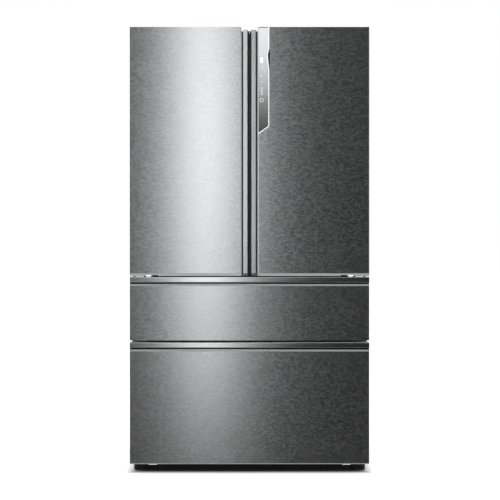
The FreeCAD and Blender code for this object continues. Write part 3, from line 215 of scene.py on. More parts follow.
def liner_white(name):
    """White liner, with the doors' edges in their own tones: grey end caps at the foot and top, and the cam and
    rubber stop where they run up over the foot. Beside the gap between the doors it is black: painted shade where
    the gap is in shadow."""
    made = moulded(name, grey(0.80, 0.005), 0.34, 700, 0.00005)
    white = made.surface.inputs["Base Color"].links[0].from_socket
    skin_low, skin_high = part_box("right_door_panel")
    skin_back = skin_high.y
    under_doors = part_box("right_door_liner")[0].z - 5 * MM
    # Painted shade: the liner beside the gap between the doors is near black.
    gap = made.math("MULTIPLY", within(made, "X", -10 * MM, 10 * MM),
                    within(made, "Y", cad_low.y, skin_back + 4 * MM))
    white = made.mix(gap, white, grey(0.012))
    foot = made.math("MULTIPLY", within(made, "Z", under_doors, skin_low.z + 0.2 * MM),
                     within(made, "Y", -1.0, skin_back + 1 * MM))
    white = made.mix(foot, white, CAP_GREY)
    top = made.math("MULTIPLY", within(made, "Z", skin_high.z - 14 * MM, 3.0),
                    within(made, "Y", -1.0, skin_back + 5 * MM))
    white = made.mix(top, white, CAP_GREY)
    below = made.math("MULTIPLY", within(made, "Z", under_doors, skin_low.z - 7.2 * MM),
                      within(made, "Y", -1.0, skin_back + 1 * MM))
    reach = made.math("ABSOLUTE", made.axis("X"))
    for (inner, outer), tone in ((DOOR_STOP, grey(0.012)), (HINGE_CAM, grey(0.8))):
        part = between(made, reach, inner * MM, outer * MM)
        white = made.mix(made.math("MULTIPLY", below, part), white, tone)
    made.set(Base_Color=white)
    return made


def cabinet_paint():
    """Dark powder coat; the front edge that the doors close against is black, painted shade for the dark gap
    around the doors.
    """
    made = moulded("cabinet_paint", grey(0.085, 0.02), 0.42, 500, 0.0001)
    coat = made.surface.inputs["Base Color"].links[0].from_socket
    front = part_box("cabinet_shell")[0].y
    # Painted shade: a near-black band on the shell's front edge.
    edge = within(made, "Y", front - 1.5 * MM, front + 2.5 * MM)
    made.set(Base_Color=made.mix(edge, coat, grey(0.01)))
    return made


def touch_strip():
    """A printed strip behind glass; its colour is a painted reflection of the light from above, pale silver at the
    top and fading to near black at its foot.
    """
    made = Shader("touch_strip")
    low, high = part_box("control_panel")
    # Painted reflection: the colour ramps from near black at the foot to pale silver at the top.
    ramp = made.node("ShaderNodeValToRGB", {"Fac": made.remap(made.axis("Z"), low.z, high.z, 0.0, 1.0)})
    stops = ramp.color_ramp.elements
    stops[0].position, stops[0].color = 0.02, grey(0.035)
    stops[1].position, stops[1].color = 0.97, grey(0.55, 0.01)
    for place, level in ((0.15, 0.08), (0.28, 0.14), (0.42, 0.27), (0.6, 0.38), (0.75, 0.49)):
        stop = stops.new(place)
        stop.color = grey(level, 0.01)
    print_dots = made.noise((2600, 2600, 2600), 1.0)
    made.set(Base_Color=made.mix(made.remap(print_dots, 0.3, 0.7, 0.0, 0.06), ramp.outputs[0], grey(0.5)))
    made.set(Roughness=made.remap(made.noise((40, 40, 40)), 0.3, 0.7, 0.12, 0.2), Specular_IOR_Level=0.3)
    return made


MAKERS = {
    "brushed_steel": lambda: brushed("brushed_steel", grey(0.60, 0.012), 0.415, 0.13, 0.735),
    "brushed_aluminium": lambda: grip_metal("grip_metal", "z"),
    "painted_steel": cabinet_paint,
    "zinc_sheet": lambda: brushed("zinc_sheet", grey(0.55, 0.02), 0.45, 0.12, 0.1),
    "screw_steel": lambda: brushed("screw_steel", grey(0.7), 0.25, 0.05, 0.1),
    "polished_chrome": lambda: moulded("polished_chrome", grey(0.86, 0.01), 0.2, 60, 0.00002,
                                       Metallic=0.35),
    "touch_glass": touch_strip,
    "white_liner": lambda: liner_white("white_liner"),
    "white_liner_foamed": lambda: liner_white("white_liner_foamed"),
    "white_plastic": lambda: moulded("white_plastic", grey(0.75, 0.005), 0.38),
    "grey_plastic": lambda: moulded("grey_plastic", grey(0.12, 0.02), 0.45),
    "black_plastic": lambda: moulded("black_plastic", grey(0.005), 0.5),
    "clear_plastic": lambda: clear("clear_plastic", (0.93, 0.97, 0.99, 1.0), 0.08, 0.9, 1.49),
    "clear_glass": lambda: clear("clear_glass", (0.82, 0.95, 0.91, 1.0), 0.02, 1.0, 1.5),
    "lamp_lens": lambda: moulded("lamp_lens", grey(0.9), 0.3, 400, 0.00003,
                                 Emission_Color=grey(1.0), Emission_Strength=2.5),
    "grey_rubber": lambda: moulded("grey_rubber", grey(0.30, 0.01), 0.6),
    "foam": lambda: moulded("foam", (0.72, 0.58, 0.30, 1.0), 0.9, 250, 0.0006),
    "fin_aluminium": lambda: brushed("fin_aluminium", grey(0.7, 0.01), 0.35, 0.06, 0.2),
    "dark_fins": lambda: moulded("dark_fins", grey(0.02), 0.4),
    "black_paint": lambda: moulded("black_paint", grey(0.015), 0.25, 300, 0.0001, Coat_Weight=0.4),
}
materials = {slot: maker().material for slot, maker in MAKERS.items()}
grip_feet = [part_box(which + "_drawer_grip")[0].z for which in ("upper", "lower")]
materials["bar_metal"] = grip_metal("bar_metal", "x", grip_feet).material
# Painted highlight: a lighter grey for the bead that stands for the light on each door's fold.
materials["fold_highlight_bead"] = moulded("fold_highlight_bead", grey(0.62, 0.01), 0.3, 60, 0.00002, Metallic=0.25).material
materials["nose_grey"] = moulded("nose_grey", grey(0.58, 0.01), 0.35).material
materials["clip_grey"] = moulded("clip_grey", grey(0.62), 0.4).material
materials["mark_grey"] = moulded("mark_grey", grey(0.55), 0.4).material
# Painted shade: a near-black sheet for the lips in the gap between the doors.
materials["gap_shade_lip"] = moulded("gap_shade_lip", grey(0.027), 0.6).material
materials["lower_fold"] = moulded("lower_fold", grey(0.24, 0.01), 0.4, 60, 0.00002).material
materials["copper"] = brushed("copper", (0.78, 0.36, 0.20, 1.0), 0.32, 0.08, 0.1).material
slots = {entry["node"]: entry["material_slot"] for entry in frame["record"]["subparts"]}
for name, node in nodes.items():
    node.data.materials.clear()
    node.data.materials.append(materials[slots[name]])
for which in ("upper", "lower"):
    nodes[which + "_drawer_grip"].data.materials[0] = materials["bar_metal"]


def bevel(thing, width, angle):
    """Round the edges that turn by more than an angle in degrees."""
    edge = thing.modifiers.new("edge", "BEVEL")
    edge.width = width
    edge.segments = 2
    edge.limit_method = "ANGLE"
    edge.angle_limit = math.radians(angle)


def flatten(thing, keep_sharp):
    """Shade broad faces flat, so that only the rounded edges turn the light."""
    flat = thing.modifiers.new("flat", "WEIGHTED_NORMAL")
    flat.mode = "FACE_AREA_WITH_ANGLE"
    flat.weight = 100
    flat.keep_sharp = keep_sharp


def soften(node, width):
    """Real edges are never knife sharp: weld the facets and round the edges a little."""
    node.data.normals_split_custom_set([(0, 0, 0)] * len(node.data.loops))
    weld = node.modifiers.new("weld", "WELD")
    weld.merge_threshold = 0.02 * MM
    bevel(node, width, 35)
    flatten(node, False)
    node.data.shade_smooth()


SOFTNESS = {
    0.4: ("right_door_panel", "left_door_panel", "upper_drawer_panel", "lower_drawer_panel",
          "control_panel"),
    0.3: ("cabinet_shell", "back_panel", "base_frame", "top_hinges", "middle_hinges", "slide_channels",
          "upper_slide_middles", "lower_slide_middles", "upper_slide_rails", "lower_slide_rails",
          "machine_cover", "power_inlet", "evaporator_cover", "front_cross_rails"),
    0.6: ("right_door_grip", "left_door_grip", "upper_drawer_grip", "lower_drawer_grip", "kick_plate",
          "flip_mullion", "fan_motors", "shelf_glass", "hinge_covers"),
    0.9: ("shelf_frames", "air_duct_cover", "light_strips", "rear_spacers"),
    1.2: ("fridge_liner", "freezer_liner", "right_door_liner", "left_door_liner", "upper_drawer_liner",
          "lower_drawer_liner"),
}
for width, names in SOFTNESS.items():
    for name in names:
        soften(nodes[name], width * MM)

# ---------------------------------------------------------------- mesh making


class Form:
    """Points and faces of one piece, in millimetres, built up from closed rings."""

    def __init__(self):
        self.points = []
        self.faces = []

    def ring(self, points):
        start = len(self.points)
        self.points += [tuple(point) for point in points]
        return list(range(start, start + len(points)))

    def band(self, first, second):
        count = len(first)
        for i in range(count):
            j = (i + 1) % count
            self.faces.append((first[i], first[j], second[j], second[i]))

    def loft(self, rings, closed=False):
        """Join rings in order; the ends are capped, or joined to each other."""
        made = [self.ring(points) for points in rings]
        for before, after in zip(made, made[1:]):
            self.band(before, after)
        if closed:
            self.band(made[-1], made[0])
        else:
            self.faces.append(tuple(reversed(made[0])))
            self.faces.append(tuple(made[-1]))

    def box(self, low, high, soft=0.0):
        """A block; 'soft' takes the edges off along all its sides."""
        levels = [(soft, low[2]), (0.0, low[2] + soft), (0.0, high[2] - soft), (soft, high[2])]
        if not soft:
            levels = [(0.0, low[2]), (0.0, high[2])]
        rings = []
        for inset, z in levels:
            flat = rounded(low[0] + inset, high[0] - inset, low[1] + inset, high[1] - inset, soft, 2)
            rings.append([(x, y, z) for x, y in flat])
        self.loft(rings)

    def turned(self, profile, place, axis="z", steps=40, wave=0.0):
        """Turn (radius, height) pairs about an axis; 'wave' sets every other point of a ring inwards."""
        rings = []
        for radius, height in profile:
            reaches = [radius - (wave if i % 2 else 0.0) for i in range(steps)]
            rings.append([along(axis, place, reach * math.cos(turn), reach * math.sin(turn), height)
                          for reach, turn in zip(reaches, turns(steps))])
        self.loft(rings)

    def prism(self, outline, place, axis, low, high):
        """A flat outline carried from one height to another along an axis."""
        self.loft([[along(axis, place, u, v, level) for u, v in outline] for level in (low, high)])

    def tube(self, path, radius, steps=10):
        """A round tube along a path whose corners were rounded beforehand."""
        points = [Vector(point) for point in path]
        side = Vector((0.31, 0.57, 0.76))
        rings = []
        for i, point in enumerate(points):
            ahead = (points[min(i + 1, len(points) - 1)] - points[max(i - 1, 0)]).normalized()
            side = (side - ahead * side.dot(ahead)).normalized()
            across = ahead.cross(side)
            rings.append([point + (side * math.cos(turn) + across * math.sin(turn)) * radius
                          for turn in turns(steps)])
        self.loft(rings)

    def mirror(self):
        """Add the same again on the other side of the centre plane."""
        count = len(self.points)
        self.points += [(-x, y, z) for x, y, z in self.points]
        self.faces += [tuple(reversed([index + count for index in face])) for face in self.faces]

    def flip(self):
        """Move the form to the other side of the centre plane."""
        self.points = [(-x, y, z) for x, y, z in self.points]
        self.faces = [tuple(reversed(face)) for face in self.faces]


def turns(count):
    """Equal angles once around, in radians."""
    return [2 * math.pi * k / count for k in range(count)]


def along(axis, place, u, v, height):
    """A point at (u, v) across an axis and 'height' along it, from a centre."""
    x, y, z = place
    if axis == "z":
        return (x + u, y + v, z + height)
    if axis == "y":
        return (x + u, y + height, z + v)
    return (x + height, y + u, z + v)


def circle(axis, place, radius, height, count):
    """A ring of points about an axis."""
    return [along(axis, place, radius * math.cos(turn), radius * math.sin(turn), height)
            for turn in turns(count)]


def rounded(x0, x1, y0, y1, radius, steps=6):
    """A rectangle with round corners, the same number of points for any radius."""
    points = []
    corners = ((x1 - radius, y1 - radius, 0), (x0 + radius, y1 - radius, 1),
               (x0 + radius, y0 + radius, 2), (x1 - radius, y0 + radius, 3))
    for cx, cy, quarter in corners:
        for k in range(steps + 1):
            angle = math.pi / 2 * (quarter + k / steps)
            points.append((cx + radius * math.cos(angle), cy + radius * math.sin(angle)))
    return points


def eased(corners, radius, steps=6):
    """A polyline's corners replaced by smooth bends."""
    points = [Vector(corner) for corner in corners]
    path = [points[0]]
    for before, here, after in zip(points, points[1:], points[2:]):
        start = here + (before - here).normalized() * radius
        end = here + (after - here).normalized() * radius
        for k in range(steps + 1):
            t = k / steps
            path.append(start.lerp(here, t).lerp(here.lerp(end, t), t))
    path.append(points[-1])
    return path


def finish_piece(name, form, slot, body, *stands_for, edge=0.0, angle=35, smooth=True, look=None):
    """Turn a form into a piece that rides on a body, with rounded edges where asked."""
    mesh = bpy.data.meshes.new(name)
    mesh.from_pydata([Vector(point) * MM for point in form.points], [], form.faces)
    work = bmesh.new()
    work.from_mesh(mesh)
    bmesh.ops.remove_doubles(work, verts=work.verts, dist=0.002 * MM)
    bmesh.ops.recalc_face_normals(work, faces=work.faces)
    work.to_mesh(mesh)
    work.free()
    made = bpy.data.objects.new(name, mesh)
    bpy.context.scene.collection.objects.link(made)
    mesh.materials.append(materials[look or slot])
    if smooth:
        round_edges(made, edge * MM, angle)
    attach(made, body)
    if stands_for:
        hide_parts(*stands_for)


def round_edges(made, width, angle):
    """Round the sharp edges, or mark them sharp where no width is given."""
    if width:
        bevel(made, width, angle)
    made.data.shade_smooth()
    if not width:
        made.data.set_sharp_from_angle(angle=math.radians(angle))
    flatten(made, True)


def span(name):
    """A node's box in millimetres."""
    low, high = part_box(name)
    return tuple(value / MM for value in low), tuple(value / MM for value in high)


# ---------------------------------------------------------------- gaskets


def gasket(body):
    """A soft bellows seal: a magnet bar held off the door by two thin folded walls."""
    name = body + "_gasket"
    low, high = span(name)
    depth = high[1] - low[1]
    profile = [(0.5, 0.0), (14.5, 0.0), (15.0, 2.2), (12.4, 3.6), (12.4, 5.2), (15.0, 6.6), (15.4, 8.2),
               (14.6, depth - 0.6), (13.6, depth), (3.4, depth), (2.4, depth - 0.6), (1.6, 8.2), (2.0, 6.6),
               (4.2, 5.2), (4.2, 3.6), (0.5, 2.2)]
    form = Form()
    rings = []
    for inset, away in profile:
        flat = rounded(low[0] + inset, high[0] - inset, low[2] + inset, high[2] - inset,
                       max(5.0, 18 - inset))
        rings.append([(x, low[1] + away, z) for x, z in flat])
    form.loft(rings, closed=True)
    finish_piece(name + "_bellows", form, "grey_rubber", body, name, angle=50)


for front_body in ("right_door", "left_door", "upper_drawer", "lower_drawer"):
    gasket(front_body)

# ---------------------------------------------------------------- moulded trays


def tray(form, low, high, wall, slope=3.0, corner=14.0, rim=3.5):
    """An open moulded tray: sloping sides, soft corners at the floor and a turned-out rim."""
    x0, y0, z0 = low
    x1, y1, z1 = high
    soft = 7.0
    outer = [(slope + soft, z0), (slope + soft * 0.3, z0 + soft * 0.25), (slope, z0 + soft)]
    lip = [(rim * 0.9, z1 - 7), (0.6, z1 - 6.4), (0, z1 - 5.4), (0, z1 - 1.2), (1.0, z1),
           (rim + wall - 0.8, z1), (rim + wall, z1 - 1.2)]
    inner = [(slope + wall, z0 + soft), (slope + wall + soft * 0.3, z0 + wall + soft * 0.25),
             (slope + wall + soft, z0 + wall)]
    rings = []
    for inset, z in outer + lip + inner:
        flat = rounded(x0 + inset, x1 - inset, y0 + inset, y1 - inset, max(2.5, corner - inset), 7)
        rings.append([(x, y, z) for x, y in flat])
    form.loft(rings)


def door_bins(side):
    """Three clear bins, each with a white bar along the side away from the door."""
    low, high = span("right_door_bins")
    tall = 110
    pitch = (high[2] - low[2] - tall) / 2
    form = Form()
    trims = Form()
    for i in range(3):
        z = low[2] + i * pitch
        tray(form, (low[0] + 0.5, low[1] + 0.5, z), (high[0] - 0.5, high[1] - 0.5, z + tall), 2.6)
        trims.box((low[0] + 22, high[1] - 2.4, z + 84), (high[0] - 22, high[1] + 0.6, z + 101), 0.8)
    if side == "left":
        form.flip()
        trims.flip()
    body = side + "_door"
    finish_piece(side + "_bins_moulded", form, "clear_plastic", body, body + "_bins", angle=50)
    finish_piece(side + "_bins_trim", trims, "white_plastic", body)


door_bins("right")
door_bins("left")


def crisper(side):
    """A clear bin with a white pull along its front."""
    low, high = span("crisper_right")
    form = Form()
    tray(form, (low[0], low[1] + 1, low[2]), high, 2.8, 5.0, 18.0)
    pull = Form()
    pull.prism([(low[1], high[2] - 38), (low[1] + 3.6, high[2] - 38), (low[1] + 3.6, high[2] - 9),
                (low[1], high[2] - 9)], (0, 0, 0), "x", low[0] + 34, high[0] - 34)
    if side == "left":
        form.flip()
        pull.flip()
    body = side + "_crisper"
    finish_piece(body + "_moulded", form, "clear_plastic", body, "crisper_" + side, angle=50)
    finish_piece(body + "_pull", pull, "white_plastic", body, edge=0.8)


crisper("right")
crisper("left")


def plain_tray(node, body, slope, wall, ribs):
    """A clear basket or tray with upright stiffening ribs along its front and back."""
    low, high = span(node)
    form = Form()
    tray(form, low, high, wall, slope, 20.0)
    finish_piece(node + "_moulded", form, "clear_plastic", body, node, angle=50)
    stiff = Form()
    pitch = (high[0] - low[0] - 140) / (ribs - 1)
    for i in range(ribs):
        x = low[0] + 70 + i * pitch
        for y in (low[1] + slope + wall, high[1] - slope - wall - 2.2):
            stiff.box((x - 1.4, y, low[2] + wall + 7), (x + 1.4, y + 2.2, high[2] - 16), 0.5)
    finish_piece(node + "_ribs", stiff, "clear_plastic", body)


plain_tray("upper_basket", "upper_drawer", 4.0, 2.8, 7)
plain_tray("lower_basket", "lower_drawer", 4.0, 2.8, 7)
plain_tray("freezer_tray", "tray", 2.0, 2.6, 9)

# ---------------------------------------------------------------- turned hardware


def screw_head(form, place, axis, toward, radius, tall):
    """A pan head with a six-sided socket; 'toward' is +1 or -1 along the axis."""
    profile = [(radius, 0), (radius, 0.35 * tall), (radius * 0.86, 0.78 * tall), (radius * 0.62, tall),
               (radius * 0.46, tall)]
    rings = [circle(axis, place, reach, toward * height, 24) for reach, height in profile]
    for height in (tall * 0.98, tall * 0.25):
        ring = []
        for turn in turns(24):
            bend = (turn + math.pi / 6) % (math.pi / 3) - math.pi / 6
            reach = radius * 0.40 * math.cos(math.pi / 6) / math.cos(bend)
            ring.append(along(axis, place, reach * math.cos(turn), reach * math.sin(turn), toward * height))
        rings.append(ring)
    form.loft(rings)


def solid_boxes(node):
    """The low and high corners of each of a node's separate solids, in millimetres."""
    work = bmesh.new()
    work.from_mesh(nodes[node].data)
    bmesh.ops.remove_doubles(work, verts=work.verts, dist=0.01 * MM)
    left = set(work.verts)
    found = []
    while left:
        batch = [left.pop()]
        island = set(batch)
        while batch:
            for edge in batch.pop().link_edges:
                for vert in edge.verts:
                    if vert in left:
                        left.discard(vert)
                        island.add(vert)
                        batch.append(vert)
        low = Vector([min(vert.co[i] for vert in island) for i in range(3)]) / MM
        high = Vector([max(vert.co[i] for vert in island) for i in range(3)]) / MM
        found.append((low, high))
    work.free()
    return sorted(found, key=lambda pair: tuple(round(value, 3) for value in pair[0]))


def hinge_screws():
    """Screws through the hinge plates: from above in the top ones, from the front in the middle ones."""
    form = Form()
    tall = 3.0
    for low, high in solid_boxes("hinge_screws"):
        middle = (low + high) / 2
        extent = high - low
        upright = abs(extent.x - extent.y) < 0.3
        radius = max(extent.x, extent.y if upright else extent.z) / 2
        shank = radius * 0.5
        if upright:
            form.turned([(shank, 0), (shank, extent.z - tall)], (middle.x, middle.y, low.z), steps=20)
            screw_head(form, (middle.x, middle.y, high.z - tall), "z", 1, radius, tall)
        else:
            form.turned([(shank, tall), (shank, extent.y)], (middle.x, low.y, middle.z), "y", 20)
            screw_head(form, (middle.x, low.y + tall, middle.z), "y", -1, radius, tall)
    finish_piece("hinge_screws_socketed", form, "screw_steel", "cabinet", "hinge_screws", angle=30)


def foot(side):
    """A ribbed pad with a hexagon on top, on a threaded stud."""
    low, high = span("foot_" + side)
    place = ((low[0] + high[0]) / 2, (low[1] + high[1]) / 2, low[2])
    wide = (high[0] - low[0]) / 2
    form = Form()
    form.turned([(wide - 3, 0), (wide - 1.2, 0.6), (wide - 0.6, 2.2), (wide, 3.4)], place, steps=72)
    form.turned([(wide - 0.8, 3.4), (wide, 4.4), (wide, 21.5), (wide - 1.0, 23.5), (wide - 4, 26.4),
                 (9.4, 27.0)], place, steps=72, wave=0.7)
    form.turned([(9.4, 27.0), (9.4, 30.0), (6.0, 30.0)], place, steps=6)
    stud = Form()
    threads = []
    height = 30.0
    while height < high[2] - 1.0:
        threads += [(4.3, height), (5.0, height + 0.6), (4.3, height + 1.2)]
        height += 1.25
    stud.turned(threads + [(4.2, high[2] - 0.6), (3.4, high[2])], place, steps=28)
    finish_piece(side + "_foot_pad", form, "black_plastic", side + "_foot", "foot_" + side, edge=0.25)
    finish_piece(side + "_foot_stud", stud, "screw_steel", side + "_foot", angle=50)


def rollers():
    """Nylon wheels with a groove around the tread and a recessed web."""
    low, high = span("rear_rollers")
    form = Form()
    inner_face = 452.5
    half = min(12.0, (high[0] - inner_face) / 2)
    place = (high[0] - half, (low[1] + high[1]) / 2, (low[2] + high[2]) / 2)
    reach = (high[2] - low[2]) / 2
    outside = [(reach - 2, -half), (reach - 0.4, -half + 1.2), (reach, -half + 2.4), (reach, -2.2),
               (reach - 0.9, -1.2), (reach - 0.9, 1.2), (reach, 2.2), (reach, half - 2.4),
               (reach - 0.4, half - 1.2), (reach - 2, half)]
    inside = [(reach - 4.2, half), (reach - 5.0, half - 3.4), (8.6, half - 3.4), (8.0, half), (4.4, half),
              (4.4, -half), (8.0, -half), (8.6, -half + 3.4), (reach - 5.0, -half + 3.4),
              (reach - 4.2, -half)]
    form.loft([circle("x", place, radius, height, 48) for radius, height in outside + inside], closed=True)
    form.mirror()
    finish_piece("rollers_grooved", form, "white_plastic", "rollers", "rear_rollers", angle=40)


hinge_screws()
foot("right")
foot("left")
rollers()

# ---------------------------------------------------------------- fans, coils and compressor


def fan_wheel(node, body, axis, count, pitch, slot):
    """Curved blades that twist from root to tip, on a hollow hub with a bore."""
    low, high = span(node)
    index = "xyz".index(axis)
    joint = next(entry for entry in frame["joints"] if entry["child"] == body)
    place = tuple(value / MM for value in joint["pos_m"])
    place = tuple((low[i] + high[i]) / 2 if i == index else place[i] for i in range(3))
    reach = max(high[i] - low[i] for i in range(3)) / 2 - 0.4
    deep = (high[index] - low[index]) / 2
    form = Form()
    hub = 17.0
    cup = [(hub - 2.5, -deep + 0.6), (hub - 0.6, -deep + 1.4), (hub, -deep + 3.4), (hub, deep - 2.0),
           (hub - 2.0, deep - 2.0), (hub - 2.0, -deep + 4.4), (5.2, -deep + 4.4), (5.2, deep - 3.0),
           (2.8, deep - 3.0), (2.8, -deep + 0.6)]
    form.loft([circle(axis, place, radius, height, 40) for radius, height in cup], closed=True)
    for blade in range(count):
        base = 2 * math.pi * blade / count
        sections = []
        for step in range(7):
            t = step / 6
            radius = hub - 0.8 + (reach - hub + 0.4) * t
            lean = math.radians(pitch + 14 * (1 - t))
            chord = (0.50 + 0.34 * math.sin(math.pi * min(t * 0.8 + 0.1, 1))) * reach
            chord = min(chord, 2 * (deep - 1.4) / math.sin(lean))
            sweep = 0.24 * t * t
            top = []
            under = []
            for k in range(9):
                s = k / 8 - 0.5
                camber = 0.07 * chord * (1 - 4 * s * s)
                thick = 0.9 * (1 - 3.2 * s * s) + 0.25
                turn = base + sweep + s * chord * math.cos(lean) / radius
                height = s * chord * math.sin(lean) + camber * 0.5
                height = max(-deep + 0.9, min(deep - 0.9, height))
                u, v = radius * math.cos(turn), radius * math.sin(turn)
                top.append(along(axis, place, u, v, height + thick / 2))
                under.append(along(axis, place, u, v, height - thick / 2))
            sections.append(top + under[::-1])
        form.loft(sections)
    finish_piece(node + "_bladed", form, slot, body, node, angle=40)


def coil(node, body, slot, pitch, lanes, rows, bore):
    """Thin sheet fins threaded on a serpentine tube, between two end plates."""
    low, high = span(node)
    fins = Form()
    first, last = low[0] + 6, high[0] - 6
    count = int((last - first) / pitch)
    for i in range(count + 1):
        x = first + (last - first) * i / count
        thick = 0.6 if i in (0, count) else 0.16
        fins.box((x - thick, low[1] + 2, low[2] + 3), (x + thick, high[1] - 2, high[2] - 3))
    pipe = Form()
    inset = 12
    ends = (low[0] + bore, high[0] - bore)
    gap = (high[2] - low[2] - 2 * inset) / (rows - 1)
    for lane in range(lanes):
        y = low[1] + (lane + 0.5) * (high[1] - low[1]) / lanes
        corners = []
        for row in range(rows):
            z = low[2] + inset + row * (high[2] - low[2] - 2 * inset) / (rows - 1)
            corners += [(ends[row % 2], y, z), (ends[(row + 1) % 2], y, z)]
        pipe.tube(eased(corners, min(gap * 0.48, 9)), bore)
    finish_piece(node + "_fins", fins, slot, body, node, smooth=False)
    finish_piece(node + "_tube", pipe, slot, body, angle=60)


def compressor():
    """A pressed steel can in two halves with a weld, pipes, rubber mounts and a terminal cover."""
    low, high = span("compressor")
    centre = (low[0] + 92.0, (low[1] + high[1]) / 2, 0)
    base = low[2]
    reach = 78.0
    can = Form()
    can.turned([(reach - 28, base + 16.5), (reach - 10, base + 24), (reach - 2.5, base + 38),
                (reach - 1.2, base + 52), (reach - 1.2, base + 104), (reach, base + 105.5),
                (reach, base + 110), (reach - 2.6, base + 111.5), (reach - 2.8, base + 146),
                (reach - 6, base + 162), (reach - 15, base + 176), (reach - 34, base + 187),
                (14, base + 190.4)], centre, steps=64)
    plate = Form()
    flat = rounded(low[0], low[0] + 184, centre[1] - 62, centre[1] + 62, 16, 8)
    plate.loft([[(x, y, base + 13) for x, y in flat], [(x, y, base + 16.8) for x, y in flat]])
    mounts = Form()
    for x in (-78, 78):
        for y in (-48, 48):
            place = (centre[0] + x, centre[1] + y, base)
            mounts.turned([(9.5, 0), (11, 1.2), (11, 4), (8.2, 6), (11, 8), (11, 12.4), (9, 13)], place)
    cover = Form()
    x0 = centre[0] + reach - 5
    cover.box((x0, centre[1] - 25.5, base + 90.5), (high[0] - 0.5, centre[1] + 25.5, base + 149.5), 3.0)
    pipes = Form()
    for y, z, rise in ((-30, 62, 34), (14, 128, 30), (34, 60, 52)):
        start = (centre[0] - reach * 0.72, centre[1] + y, base + z)
        pipes.tube(eased([start, (centre[0] - reach - 5, centre[1] + y, base + z),
                          (centre[0] - reach - 5, centre[1] + y, base + z + rise)], 9), 3.0)
    finish_piece("compressor_can", can, "black_paint", "cabinet", "compressor", angle=25)
    finish_piece("compressor_plate", plate, "zinc_sheet", "cabinet", edge=0.5)
    finish_piece("compressor_mounts", mounts, "grey_rubber", "cabinet", angle=50)
    finish_piece("compressor_cover", cover, "grey_plastic", "cabinet", edge=0.4)
    finish_piece("compressor_pipes", pipes, "zinc_sheet", "cabinet", angle=60, look="copper")


fan_wheel("condenser_fan", "cooling_fan", "x", 5, 30, "black_plastic")
fan_wheel("evaporator_fan", "cold_air_fan", "y", 6, 28, "white_plastic")
coil("evaporator", "cabinet", "fin_aluminium", 7.0, 2, 8, 4.0)
coil("condenser", "cabinet", "dark_fins", 6.0, 5, 6, 4.0)
compressor()

# ---------------------------------------------------------------- control strip

FRONT = cad_low.y / MM
STRIP_LEFT = span("control_bezel")[0][0]
STRIP_RIGHT = span("control_bezel")[1][0]
STRIP_TOP = span("control_bezel")[1][2]
STRIP_FOOT = span("control_bezel")[0][2]


def strip_side(inset):
    """The strip's outer side from its foot to its top, moved inwards, with the notch near the top."""
    right = STRIP_RIGHT - inset
    corners = [(STRIP_LEFT, 0, STRIP_FOOT + inset * 1.35), (right, 0, STRIP_FOOT + 34 + inset * 0.5),
               (right, 0, STRIP_TOP - 184), (right - 6, 0, STRIP_TOP - 124),
               (right - 6, 0, STRIP_TOP - 112), (right, 0, STRIP_TOP - 92), (right, 0, STRIP_TOP)]
    return [(point.x, point.z) for point in eased(corners, 5.0, 4)]


def control_bezel():
    """A bright moulding down the outer side and along the slanted foot of the strip."""
    outer, inner = strip_side(0.0), strip_side(4.4)
    form = Form()
    count = len(outer)
    size = 2 * count
    rings = []
    for level, swell in ((FRONT + 2.0, 0.0), (FRONT + 0.1, 0.0), (FRONT - 0.35, 0.9)):
        ring = []
        for (x0, z0), (x1, z1) in zip(outer, inner):
            ring.append((x0 + (x1 - x0) * swell * 0.2, level, z0 + (z1 - z0) * swell * 0.2))
        for (x0, z0), (x1, z1) in reversed(list(zip(outer, inner))):
            ring.append((x1 + (x0 - x1) * swell * 0.2, level, z1 + (z0 - z1) * swell * 0.2))
        rings.append(form.ring(ring))
    form.band(rings[0], rings[1])
    form.band(rings[1], rings[2])
    for ring, outward in ((rings[0], False), (rings[2], True)):
        for i in range(count - 1):
            face = (ring[i], ring[i + 1], ring[size - 2 - i], ring[size - 1 - i])
            form.faces.append(face[::-1] if outward else face)
    finish_piece("control_bezel_moulding", form, "polished_chrome", "right_door", "control_bezel", angle=40)
    # A thin black plate in the notch beside the strip: painted shade of the recess there.
    shade = Form()
    top = STRIP_TOP
    right = STRIP_RIGHT
    shade.prism([(right + 0.2, top - 184), (right + 2.6, top - 130), (right + 2.4, top - 96),
                 (right + 0.2, top - 91), (right - 5.4, top - 111), (right - 5.4, top - 125)],
                (0, 0, 0), "y", FRONT - 0.2, FRONT + 0.6)
    finish_piece("control_notch", shade, "black_plastic", "right_door", edge=0.1)


